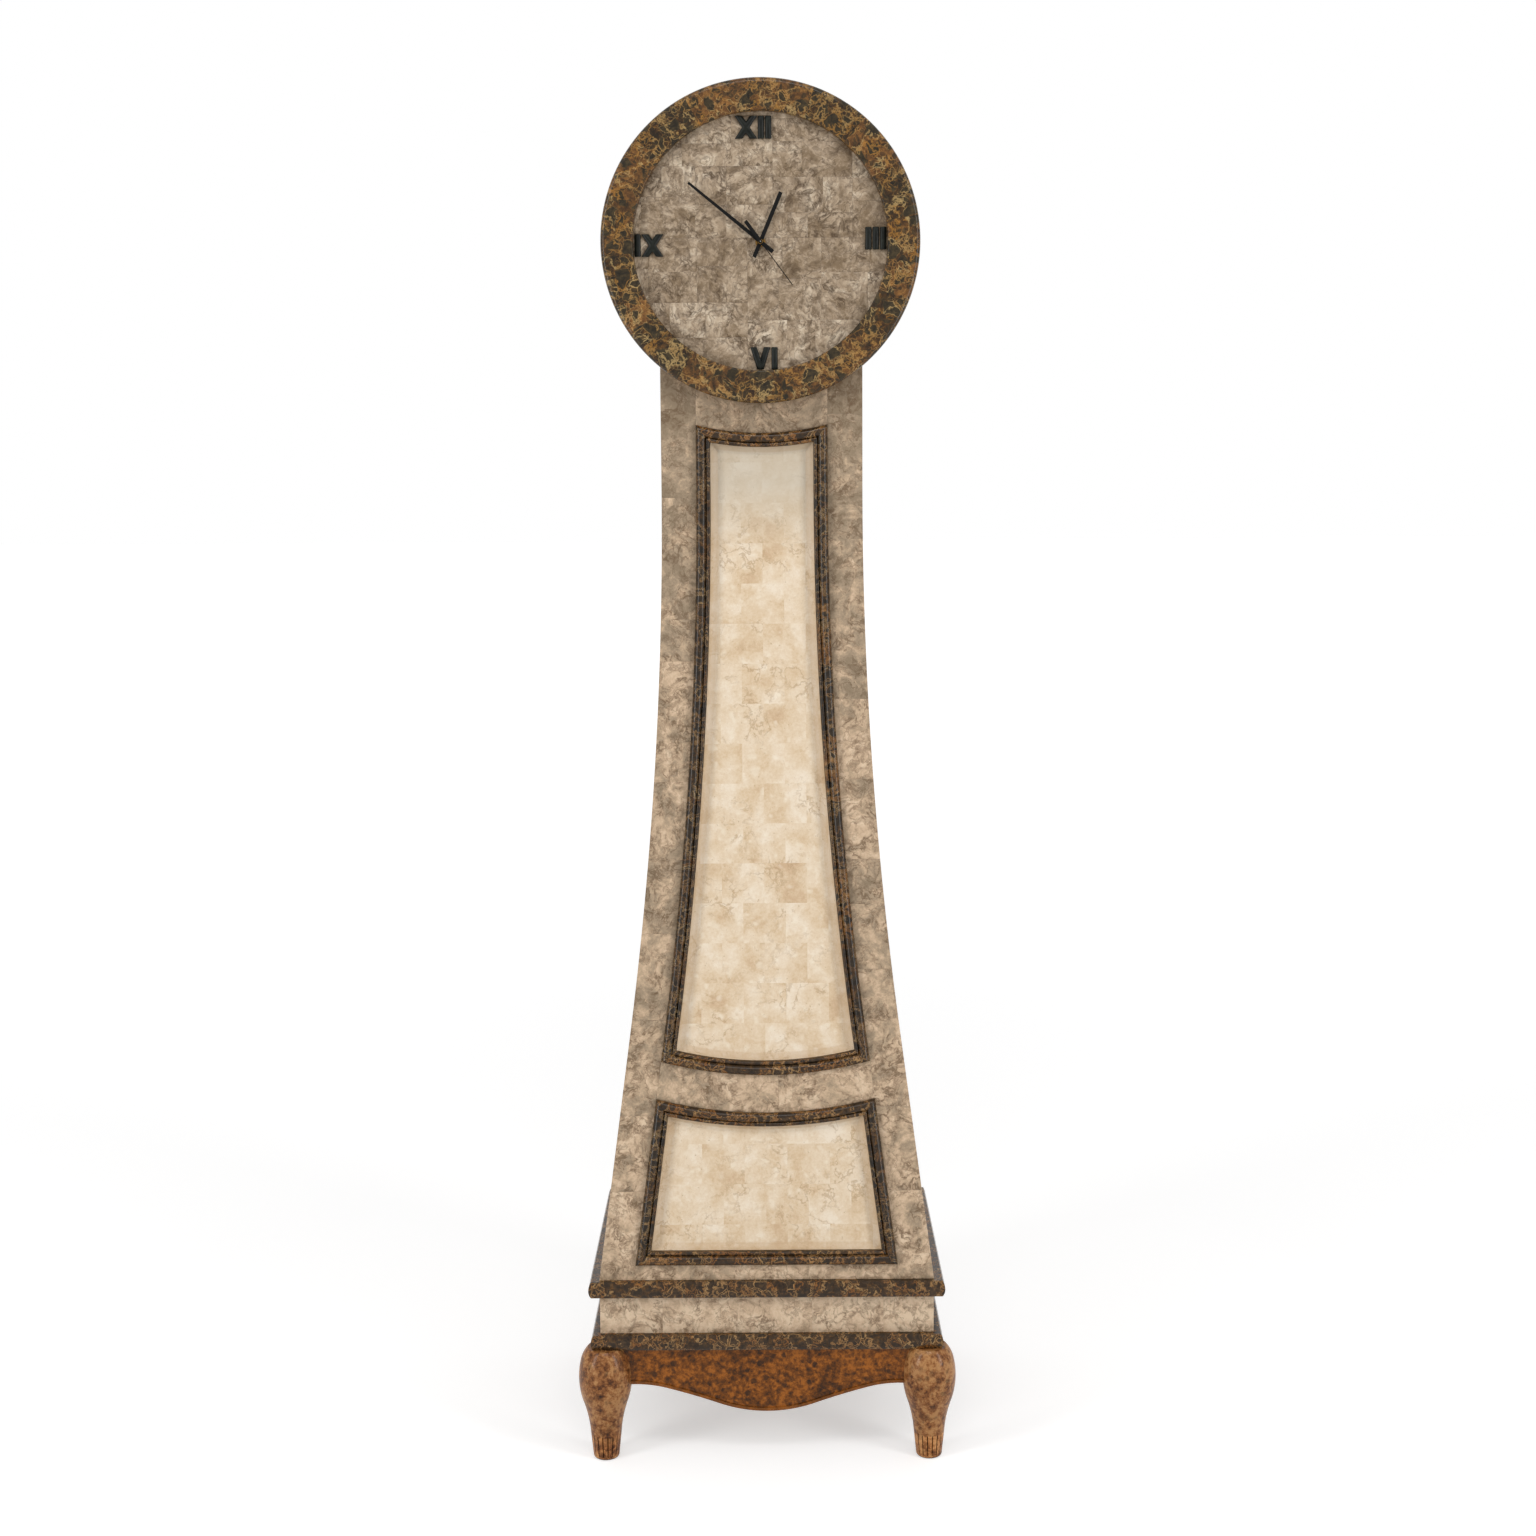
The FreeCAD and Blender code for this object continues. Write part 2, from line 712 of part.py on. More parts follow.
save("trunk_stone_front", trunk_layer(neck_half_w, neck_front, stone_t).cut(openings))
save("trunk_board_front", trunk_layer(neck_half_w - skin, neck_front - skin, board_t).cut(openings))
stone_side = trunk_side(neck_half_w, neck_half_w - skin, neck_front - skin, back_y)
board_side = trunk_side(neck_half_w - skin, neck_half_w - core, neck_front - core, back_y - board_t)
save("trunk_stone_sides", mirrored(stone_side), stone_side)
save("trunk_board_left", mirrored(board_side))
save("trunk_board_right", board_side)
behind = box(-reach, back_y - board_t, trunk_bottom_z, reach, back_y, head_centre_z)
back_outline = width_prism(neck_half_w - skin, trunk_bottom_z, head_centre_z)
save("trunk_board_back", behind.common(back_outline).cut(drum_room))
inside_outline = width_prism(neck_half_w - core, trunk_bottom_z, head_centre_z)
inside = depth_prism(neck_front - core, trunk_bottom_z, head_centre_z, rear=back_y - board_t).common(inside_outline)
shelf_z = lower_top_mid_z + shelf_up
shelf = inside.common(box(-reach, -reach, shelf_z - board_t / 2, reach, reach, shelf_z + board_t / 2))
cleats = []
for sign in (-1, 1):
    near = sign * (neck_half_w - core + flare(trunk_bottom_z))
    far = near - sign * cleat
    strip = box(min(near, far), -reach, trunk_bottom_z, max(near, far), reach, trunk_bottom_z + cleat)
    cleats.append(inside.common(strip))
save("trunk_framing", shelf, *cleats)
save("upper_panel", panel(upper_top, upper_foot))
save("lower_panel", panel(lower_top, lower_foot))
for frame, top, foot in (("upper_frame", upper_top, upper_foot), ("lower_frame", lower_top, lower_foot)):
    top_run, foot_run, side_run = frame_pieces(top, foot)
    save(frame + "_top", top_run)
    save(frame + "_foot", foot_run)
    save(frame + "_sides", mirrored(side_run), side_run)

# Head: a wooden drum with a stone skin, the dial clamped behind a rabbeted marble ring

ring_front = -neck_front - ring_proud
dial_front = ring_front + dial_recess
board_front = dial_front + stone_t
drum_front = board_front + dial_board_t
dial_r = drum_r - drum_wall
save("head_drum", tube(drum_r, dial_r, drum_front, back_y))
neck_room = box(-neck_half_w, -neck_front, 0, neck_half_w, reach, head_centre_z)
save("head_stone", tube(ring_outer_r, drum_r, drum_front, back_y).cut(neck_room))
ring = tube(ring_outer_r, ring_inner_r, ring_front, drum_front)
ring_middle_r = (ring_outer_r + ring_inner_r) / 2
front_edges = [edge for edge in ring.Edges if edge.BoundBox.YMax < ring_front + glue_gap]
outer_edge = [edge for edge in front_edges if edge.BoundBox.XMax > ring_middle_r]
ring = ring.makeFillet(ring_round, outer_edge)
front_edges = [edge for edge in ring.Edges if edge.BoundBox.YMax < ring_front + glue_gap]
inner_edge = [edge for edge in front_edges if edge.BoundBox.XMax < ring_middle_r]
ring = ring.makeFillet(ring_inner_round, inner_edge)
save("dial_ring", ring.cut(rod(dial_r + dial_gap, dial_front, reach)))
bush_room = rod(bush_r + bolt_fit, -reach, reach)
save("dial_stone", rod(dial_r, dial_front, board_front).cut(bush_room))
save("dial_board", rod(dial_r, board_front, drum_front).cut(bush_room))
cradle_low_z = head_centre_z - drum_r - cradle_h
cradle = inside.common(box(-reach, -reach, cradle_low_z, reach, reach, head_centre_z)).cut(drum_room)
front_cradle = cradle.common(box(-reach, -reach, 0, reach, -neck_front + core + cradle_t, reach + head_centre_z))
rear_cradle = cradle.common(box(-reach, back_y - board_t - cradle_t, 0, reach, reach, reach + head_centre_z))
save("head_cradles", front_cradle, rear_cradle)

door_low_z = head_centre_z - door_half_h
door_high_z = head_centre_z + door_half_h
head_back = rod(dial_r, back_y - head_back_t, back_y)
head_back = head_back.cut(box(-door_half_w, -reach, door_low_z, door_half_w, reach, door_high_z))
stop_y = back_y - head_back_t
stop = box(door_half_w - door_stop, stop_y - door_stop, door_low_z + door_stop,
           door_half_w + door_stop, stop_y, door_high_z - door_stop)
save("head_back", head_back.fuse(stop))
door = box(-door_half_w + door_gap, back_y - door_t, door_low_z + door_gap,
           door_half_w - door_gap, back_y, door_high_z - door_gap)
save("service_door", door)


# Hinges: the pin line stands just outside the door's left edge

hinge_x = -door_half_w
hinge_y = back_y + hinge_axis_out


def knuckle(low, high):
    return Part.makeCylinder(hinge_knuckle_r, high - low, V(hinge_x, hinge_y, low))


def leaf(sign, z, spans):
    """One leaf of a hinge: its plate, and its knuckles at the given heights."""
    plate_x = (hinge_x + sign * hinge_leaf_in, hinge_x + sign * hinge_leaf_w)
    low, high = z - 3 * hinge_knuckle_h / 2, z + 3 * hinge_knuckle_h / 2
    shape = box(min(plate_x), back_y, low, max(plate_x), back_y + hinge_leaf_t, high)
    bridge_low = back_y + hinge_bridge_out
    bridge_x = (hinge_x, hinge_x + sign * (hinge_leaf_in + hinge_leaf_t))
    for start, end in spans:
        bridge = box(min(bridge_x), bridge_low, start, max(bridge_x), bridge_low + hinge_leaf_t, end)
        shape = shape.fuse([bridge, knuckle(start, end)])
    return shape.removeSplitter()


case_leaves = []
door_leaves = []
for z in (head_centre_z - hinge_place_z, head_centre_z + hinge_place_z):
    low = z - 3 * hinge_knuckle_h / 2
    first, second, last = low + hinge_knuckle_h, low + 2 * hinge_knuckle_h, low + 3 * hinge_knuckle_h
    pin = Part.makeCylinder(hinge_pin_r, 3 * hinge_knuckle_h, V(hinge_x, hinge_y, low))
    case_leaves.append(leaf(-1, z, ((low, first), (second, last))).fuse(pin).removeSplitter())
    middle = leaf(1, z, ((first + hinge_knuckle_gap, second - hinge_knuckle_gap),))
    pin_room = Part.makeCylinder(hinge_pin_r + hinge_pin_fit, 3 * hinge_knuckle_h, V(hinge_x, hinge_y, low))
    door_leaves.append(middle.cut(pin_room))
save("hinge_case_leaves", *case_leaves)
save("hinge_door_leaves", *door_leaves)
knob_x = door_half_w - knob_in
knob_neck = rod(knob_neck_r, back_y, back_y + knob_h, knob_x)
knob_flare = Part.makeCone(knob_neck_r, knob_r, knob_h / 2, V(knob_x, back_y, head_centre_z), V(0, 1, 0))
knob_head = rod(knob_r, back_y + knob_h / 2, back_y + knob_h, knob_x)
save("door_knob", knob_head.fuse([knob_flare, knob_neck]).removeSplitter())


# Numerals: strokes with a domed top, laid on the dial

def stroke(length, width):
    """A domed bar along Z, centred, its back on Y 0 and its top towards -Y."""
    points = [V(-width / 2, 0, 0), V(-width / 2, -stroke_proud + stroke_dome, 0), V(0, -stroke_proud, 0),
              V(width / 2, -stroke_proud + stroke_dome, 0), V(width / 2, 0, 0)]
    edges = [line(points[0], points[1]), arc(points[1], points[2], points[3]), line(points[3], points[4]),
             line(points[4], points[0])]
    return Part.Face(Part.Wire(edges)).extrude(V(0, 0, length)).translated(V(0, 0, -length / 2))


def slanted(lean_x, x):
    """A stroke that leans by a distance across its height, cut level at both ends."""
    lean_deg = math.degrees(math.atan2(lean_x, numeral_h))
    bar = stroke(2 * numeral_h, stroke_w).rotated(V(0, 0, 0), V(0, 1, 0), lean_deg)
    level = box(-reach, -overrun, -numeral_h / 2, reach, overrun, numeral_h / 2)
    return bar.common(level).translated(V(x, 0, 0))


def upright(x):
    return [stroke(numeral_h, stroke_w).translated(V(x, 0, 0))], stroke_w


def cross(x):
    lean = cross_w - stroke_w
    return [slanted(lean, x).fuse(slanted(-lean, x)).removeSplitter()], cross_w


def vee(x):
    lean = (vee_w - stroke_w) / 2
    return [slanted(-lean, x - lean / 2).fuse(slanted(lean, x + lean / 2)).removeSplitter()], vee_w


def numeral(name, marks, clock_deg, margin=numeral_margin, turn_deg=numeral_turn_deg):
    """Lays out the marks from left to right, just inside the ring at an hour's place on the dial."""
    widths = {"I": stroke_w, "X": cross_w, "V": vee_w}
    total = sum(widths[m] for m in marks) + stroke_gap * (len(marks) - 1)
    x = -total / 2
    solids = []
    for mark in marks:
        make = {"I": upright, "X": cross, "V": vee}[mark]
        shapes, width = make(x + widths[mark] / 2)
        solids += shapes
        x += width + stroke_gap
    turn = math.radians(clock_deg - turn_deg)
    outward = total if clock_deg in (90, 270) else numeral_h
    place_r = ring_inner_r - margin - outward / 2
    place = V(place_r * math.sin(turn), dial_front, head_centre_z + place_r * math.cos(turn))
    save(name, *[solid.translated(place) for solid in solids])


numeral("numeral_twelve", "XII", 0, twelve_margin, twelve_turn_deg)
numeral("numeral_three", "III", 90)
numeral("numeral_six", "VI", 180)
numeral("numeral_nine", "IX", 270)

# Movement: all heights run back from the front of its case, on the head's centre line

case_y = drum_front
pipe_clear = second_arbor_r + running_fit
cannon_clear = minute_pipe_r + running_fit
hour_clear = hour_pipe_r + running_fit


def back(height):
    return case_y + height


def polar(radius, clock_deg):
    turn = math.radians(clock_deg)
    return radius * math.sin(turn), head_centre_z + radius * math.cos(turn)


def gear(teeth, module, low, thick, centre, tooth_deg):
    """A toothed disc along Y with one tooth pointing at an angle, by the clock."""
    pitch_r = teeth * module / 2
    tip_r = pitch_r + tooth_high_share * module
    root_r = pitch_r - tooth_deep_share * module
    step = 360.0 / teeth
    points = []
    for i in range(teeth):
        middle = tooth_deg + i * step
        for radius, share in ((root_r, -tooth_root_share), (tip_r, -tooth_tip_share),
                              (tip_r, tooth_tip_share), (root_r, tooth_root_share)):
            turn = math.radians(middle + share * step)
            points.append(V(centre[0] + radius * math.sin(turn), back(low), centre[1] + radius * math.cos(turn)))
    return Part.Face(Part.makePolygon(points + [points[0]])).extrude(V(0, thick, 0))


def meshed(teeth, toward_deg):
    """The tooth angle of a gear whose gap faces back along the line from its neighbour."""
    return toward_deg + 180.0 + 180.0 / teeth


centre_at = (0.0, head_centre_z)
train_distance = train_module * (third_pinion_teeth + centre_wheel_teeth) / 2
fast_module = 2 * train_distance / (second_pinion_teeth + third_wheel_teeth)
motion_distance = motion_module * (cannon_teeth + minute_wheel_teeth) / 2
setting_distance = motion_module * (setting_teeth + minute_wheel_teeth) / 2
third_at = polar(train_distance, third_deg)
minute_at = polar(motion_distance, minute_wheel_deg)
setting_at = polar(motion_distance + setting_distance, minute_wheel_deg)
bridge_high = bridge_low + bridge_t


def arbor(radius, low, high, at):
    return rod(radius, back(low), back(high), at[0], at[1])


# Hour wheel with its pipe, and the hour hand pressed on it
hour_wheel = gear(hour_wheel_teeth, motion_module, hour_wheel_at, wheel_t, centre_at, minute_wheel_deg)
hour_wheel = hour_wheel.fuse(arbor(hour_pipe_r, -hour_pipe_long, hour_wheel_at + wheel_t, centre_at))
save("hour_wheel", hour_wheel.cut(arbor(cannon_clear, -reach, reach, centre_at)).removeSplitter())

# Cannon pinion, centre wheel and minute pipe, as one piece
cannon = gear(cannon_teeth, motion_module, motion_at, centre_wheel_at - motion_at, centre_at, minute_wheel_deg)
centre_wheel = gear(centre_wheel_teeth, train_module, centre_wheel_at, wheel_t, centre_at, third_deg)
pipe = arbor(minute_pipe_r, -minute_pipe_long, centre_wheel_at + wheel_t, centre_at)
centre_wheel = centre_wheel.fuse([cannon, pipe]).cut(arbor(pipe_clear, -reach, reach, centre_at))
save("centre_wheel", centre_wheel.removeSplitter())

# Minute wheel and pinion, on a fixed post of the case
minute_pinion_deg = meshed(minute_pinion_teeth, minute_wheel_deg)
minute_tooth_deg = meshed(minute_wheel_teeth, minute_wheel_deg)
minute_wheel = gear(minute_wheel_teeth, motion_module, motion_at, pinion_t, minute_at, minute_tooth_deg)
minute_pinion = gear(minute_pinion_teeth, motion_module, hour_wheel_at, motion_at - hour_wheel_at, minute_at,
                     minute_pinion_deg)
post_room = arbor(pivot_r + running_fit, -reach, reach, minute_at)
save("minute_wheel", minute_wheel.fuse(minute_pinion).cut(post_room).removeSplitter())

# Third wheel and its pinion
third_pinion = gear(third_pinion_teeth, train_module, centre_wheel_at, third_wheel_at - centre_wheel_at, third_at,
                    meshed(third_pinion_teeth, third_deg))
third_tooth_deg = meshed(third_wheel_teeth, third_deg)
third_wheel = gear(third_wheel_teeth, fast_module, third_wheel_at, wheel_t, third_at, third_tooth_deg)
third_arbor = arbor(pivot_r, movement_front_wall / 2 + bolt_fit, bridge_high, third_at)
save("third_wheel", third_wheel.fuse([third_pinion, third_arbor]).removeSplitter())

# Second wheel on the long arbor that carries the second hand
second_pinion_low = centre_wheel_at + wheel_t + 4 * bolt_fit
second_pinion = gear(second_pinion_teeth, fast_module, second_pinion_low, second_wheel_at - second_pinion_low,
                     centre_at, third_deg)
second_wheel = gear(second_wheel_teeth, train_module, second_wheel_at, wheel_t, centre_at, 0.0)
second_arbor = arbor(second_arbor_r, -second_arbor_long, bridge_high, centre_at)
save("second_wheel", second_wheel.fuse([second_pinion, second_arbor]).removeSplitter())

# Setting arbor: one tooth of its pinion points at the minute wheel, its knob stands behind the cover
setting_pinion = gear(setting_teeth, motion_module, motion_at, pinion_t, setting_at, minute_wheel_deg)
setting_arbor = arbor(2 * pivot_r, movement_front_wall / 2 + bolt_fit, movement_depth + setting_knob_t, setting_at)
setting_knob = arbor(setting_knob_r, movement_depth + 4 * bolt_fit, movement_depth + setting_knob_t, setting_at)
save("setting_knob", setting_pinion.fuse([setting_arbor, setting_knob]).removeSplitter())

# Case: a tray open at the rear, with the threaded bush, the battery bay and the bearings
half = movement_w / 2
low_z = head_centre_z - half
case = box(-half, back(0), low_z, half, back(movement_depth - cover_t), low_z + movement_w)
gears_low = low_z + movement_wall + bay_h + movement_wall
case = case.cut(box(-half + movement_wall, back(movement_front_wall), gears_low,
                    half - movement_wall, reach, low_z + movement_w - movement_wall))
case = case.cut(box(-half + movement_wall, back(movement_front_wall), low_z + movement_wall,
                    half - movement_wall, reach, low_z + movement_wall + bay_h))
case = case.fuse(arbor(bush_r, -bush_long, 0, centre_at))
case = case.cut(arbor(hour_clear, -reach, movement_front_wall, centre_at))
case = case.cut(arbor(pivot_r + running_fit, movement_front_wall / 2, movement_front_wall, third_at))
case = case.cut(arbor(2 * pivot_r + running_fit, movement_front_wall / 2, movement_front_wall, setting_at))
case = case.fuse(arbor(pivot_r, movement_front_wall, motion_at + pinion_t + bolt_fit, minute_at))
post_places = [(sign * (bridge_w / 2 - bridge_post_r), head_centre_z + up * (bridge_h / 2 - bridge_post_r))
               for sign in (-1, 1) for up in (-1, 1)]
for at in post_places:
    case = case.fuse(arbor(bridge_post_r, movement_front_wall, bridge_low, at))
save("movement_case", case.removeSplitter())
bridge = box(-bridge_w / 2, back(bridge_low), head_centre_z - bridge_h / 2,
             bridge_w / 2, back(bridge_high), head_centre_z + bridge_h / 2)
for radius, at in ((second_arbor_r, centre_at), (pivot_r, third_at), (2 * pivot_r, setting_at)):
    bridge = bridge.cut(arbor(radius + running_fit, -reach, reach, at))
cover = box(-half, back(movement_depth - cover_t), gears_low - movement_wall,
            half, back(movement_depth), low_z + movement_w)
save("movement_plates", bridge, cover.cut(arbor(2 * pivot_r + running_fit, -reach, reach, setting_at)))

# Nut and washer that clamp the movement to the dial
washer_at = dial_recess - ring_proud - neck_front - case_y
washer = arbor(washer_r, washer_at - washer_t, washer_at, centre_at)
nut_points = [V(nut_flats / math.sqrt(3) * math.cos(math.radians(60 * i)), back(washer_at - washer_t - nut_t),
                head_centre_z + nut_flats / math.sqrt(3) * math.sin(math.radians(60 * i))) for i in range(6)]
nut = Part.Face(Part.makePolygon(nut_points + [nut_points[0]])).extrude(V(0, nut_t, 0))
bush_hole = arbor(bush_r, -reach, reach, centre_at)
save("fixing_nut", nut.cut(bush_hole), washer.cut(bush_hole))

# Battery, its contacts and the stepping motor
bay_z = low_z + movement_wall + bay_h / 2
bay_y = back(movement_front_wall + battery_r)
cell = Part.makeCylinder(battery_r, battery_long, V(-battery_long / 2, bay_y, bay_z), V(1, 0, 0))
nub = Part.makeCylinder(battery_nub_r, battery_nub, V(battery_long / 2, bay_y, bay_z), V(1, 0, 0))
save("battery", cell.fuse(nub).removeSplitter())
contacts = []
for x in (-half + movement_wall, half - movement_wall - contact_t):
    contacts.append(box(x, bay_y - contact_w / 2, bay_z - contact_w / 2,
                        x + contact_t, bay_y + contact_w / 2, bay_z + contact_w / 2))
motor_y = back(movement_front_wall)
core_bar = box(-motor_long / 2, motor_y, head_centre_z + motor_z - motor_t / 2,
               motor_long / 2, motor_y + motor_core_t, head_centre_z + motor_z + motor_t / 2)
coil_start = V(-motor_coil_long / 2, motor_y + motor_core_t + motor_coil_r, head_centre_z + motor_z)
coil = Part.makeCylinder(motor_coil_r, motor_coil_long, coil_start, V(1, 0, 0))
save("movement_electrics", core_bar, coil, *contacts)


# Hands: flat blades with a hub, laid along the clock's upright and then turned

def blade(long, tail, tip_w, root_w, tail_w, low, hub_r, bore_r, clock_deg):
    """A hand whose front lies towards -Y; low is its place in front of the movement's case."""
    points = [V(-tip_w / 2, 0, long), V(tip_w / 2, 0, long), V(root_w / 2, 0, 0), V(tail_w / 2, 0, 0),
              V(tail_w / 2, 0, -tail), V(-tail_w / 2, 0, -tail), V(-tail_w / 2, 0, 0), V(-root_w / 2, 0, 0)]
    if root_w == tail_w:
        points = [p for p in points if p.z]
        points[2:2] = [V(root_w / 2, 0, 0)]
        points.append(V(-root_w / 2, 0, 0))
    flat = Part.Face(Part.makePolygon(points + [points[0]])).extrude(V(0, hand_t, 0))
    flat = flat.rotated(V(0, 0, 0), V(0, 1, 0), clock_deg).translated(V(0, back(-low - hand_t), head_centre_z))
    hub = arbor(hub_r, -low - hand_t, -low - hand_t + hub_t, centre_at)
    return flat.fuse(hub).cut(arbor(bore_r, -reach, reach, centre_at)).removeSplitter()


hour_hand = blade(hour_long, hour_tail, hour_w, hour_w, hour_w, hour_hand_at, hour_hub_r, hour_pipe_r, hour_deg)
save("hour_hand", hour_hand)
minute_hand = blade(minute_long, minute_tail, minute_tip_w, hour_w, hour_w, minute_hand_at, minute_hub_r,
                    minute_pipe_r, minute_deg)
save("minute_hand", minute_hand)
second_hand = blade(second_long, second_tail, second_w, second_w, second_tail_w, second_hand_at, second_hub_r,
                    second_arbor_r, second_deg)
save("second_hand", second_hand)
cap = arbor(cap_r, -cap_at - cap_t, -cap_at, centre_at)
save("hand_cap", cap.cut(arbor(minute_pipe_r, -reach, reach, centre_at)))
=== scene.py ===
import bmesh
import bpy
import math
import random
from mathutils import Euler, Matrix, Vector


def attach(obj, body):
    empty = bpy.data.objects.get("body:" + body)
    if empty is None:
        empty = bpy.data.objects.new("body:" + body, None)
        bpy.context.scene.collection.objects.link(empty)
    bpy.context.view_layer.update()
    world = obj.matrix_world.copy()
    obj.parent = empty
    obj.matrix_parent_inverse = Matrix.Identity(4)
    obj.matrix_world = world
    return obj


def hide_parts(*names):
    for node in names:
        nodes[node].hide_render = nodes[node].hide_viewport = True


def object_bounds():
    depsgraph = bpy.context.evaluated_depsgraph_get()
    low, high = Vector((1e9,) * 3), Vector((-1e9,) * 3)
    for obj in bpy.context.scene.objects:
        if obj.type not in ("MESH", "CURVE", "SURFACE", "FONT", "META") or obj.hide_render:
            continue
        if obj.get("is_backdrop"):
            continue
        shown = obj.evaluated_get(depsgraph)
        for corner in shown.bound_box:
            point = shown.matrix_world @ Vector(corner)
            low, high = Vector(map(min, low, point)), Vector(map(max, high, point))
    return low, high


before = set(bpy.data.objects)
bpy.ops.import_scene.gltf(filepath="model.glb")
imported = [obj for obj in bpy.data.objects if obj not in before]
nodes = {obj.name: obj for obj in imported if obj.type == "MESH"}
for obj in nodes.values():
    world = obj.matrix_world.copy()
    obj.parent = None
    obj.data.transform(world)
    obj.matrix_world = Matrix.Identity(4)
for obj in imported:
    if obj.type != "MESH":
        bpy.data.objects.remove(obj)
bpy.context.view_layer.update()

# Sizes are in millimetres, and a texture's Scale is 1000 over the size of its figure.
MM = 0.001

# Carcass: sheets of sealed softwood ply, glued and screwed round softwood rails and shelves, with
# a drum of bent ply for the head. The stone hides all of it but the back, which stays plain wood.
# Steel roundhead screws hold the back on, down both edges, across the rails and round the head.

NECK_HALF, NECK_FRONT, FOOT_HALF = 144.0, 88.0, 243.0
FLARE_FOOT, FLARE_TOP, FLARE_R = 610.0, 1420.0, 6060.0
TRUNK_FOOT, HEAD_Z, DRUM_R, BACK_Y = 272.0, 1757.0, 218.0, 200.0
CURVE_OUT = FLARE_R - math.sqrt(FLARE_R ** 2 - (FLARE_TOP - FLARE_FOOT) ** 2)
SKIRT = (FOOT_HALF - NECK_HALF - CURVE_OUT) / (FLARE_FOOT - TRUNK_FOOT)
PLY_TONES = [(0.30, "#906b48"), (0.50, "#aa855f"), (0.66, "#bb9870"), (0.85, "#c9a985")]


def flare(z):
    """How far the trunk's faces stand out from the neck at a height, in millimetres."""
    if z >= FLARE_TOP:
        return 0.0
    curved = max(z, FLARE_FOOT)
    return FLARE_R - math.sqrt(FLARE_R ** 2 - (FLARE_TOP - curved) ** 2) + SKIRT * (curved - z)


def colour(code):
    """An sRGB hex colour as linear red, green, blue and alpha."""
    parts = [int(code[i:i + 2], 16) / 255 for i in (1, 3, 5)]
    return [c / 12.92 if c <= 0.04045 else ((c + 0.055) / 1.055) ** 2.4 for c in parts] + [1.0]


def live(value):
    """A node's first live output; any other value as it is."""
    return next(s for s in value.outputs if s.enabled) if isinstance(value, bpy.types.Node) else value


def add(tree, kind, inputs=(), stops=(), **settings):
    """Adds one node, a shader node unless its kind says otherwise. Inputs are values, sockets or
    nodes, in the node's own order or by name. Stops are a colour ramp's places and colours."""
    made = tree.nodes.new(kind if "Node" in kind else "ShaderNode" + kind)
    for name, value in settings.items():
        setattr(made, name, value)
    for name, value in inputs.items() if isinstance(inputs, dict) else enumerate(inputs):
        socket = made.inputs[name] if isinstance(name, int) else next(
            s for s in made.inputs if s.name == name and s.enabled)
        if isinstance(live(value), bpy.types.NodeSocket):
            tree.links.new(live(value), socket)
        else:
            socket.default_value = value
    for spot, (place, tone) in enumerate(stops):
        ramp = made.color_ramp.elements
        element = ramp[spot] if spot < 2 else ramp.new(place)
        element.position = place
        element.color = colour(tone)
    return made


def material(name):
    """A fresh material, its tree and its shader."""
    made = bpy.data.materials.new(name)
    made.use_nodes = True
    return made, made.node_tree, made.node_tree.nodes["Principled BSDF"]


def warped(tree, place, mm, reach):
    """A place pushed about by soft noise, so that the figure in stone or wood flows."""
    drift = add(tree, "TexNoise", {"Vector": place, "Scale": 1000 / mm, "Detail": 4})
    centred = add(tree, "VectorMath", [drift.outputs["Color"], (0.5, 0.5, 0.5)], operation="SUBTRACT")
    pushed = add(tree, "VectorMath", {0: centred, "Scale": reach * MM}, operation="SCALE")
    return add(tree, "VectorMath", [place, pushed], operation="ADD")


def finished(tree, shader, tone, gloss, specular, height, depth):
    """Sets a shader's colour, roughness, shine and relief. Gloss is a noise and the roughness at its
    low and its high; a depth below nought, in mm, cuts in."""
    rough = add(tree, "MapRange", [gloss[0], 0.3, 0.7, *gloss[1:]])
    relief = add(tree, "Bump", {"Height": height, "Strength": 0.5, "Distance": abs(depth) * MM},
        invert=depth < 0)
    for name, made in (("Base Color", tone), ("Roughness", rough), ("Normal", relief)):
        tree.links.new(live(made), shader.inputs[name])
    shader.inputs["Specular IOR Level"].default_value = specular


def finish_nodes(finish, *names):
    """Puts a finish on CAD nodes."""
    for name in names:
        for slot in nodes[name].material_slots:
            slot.material = finish


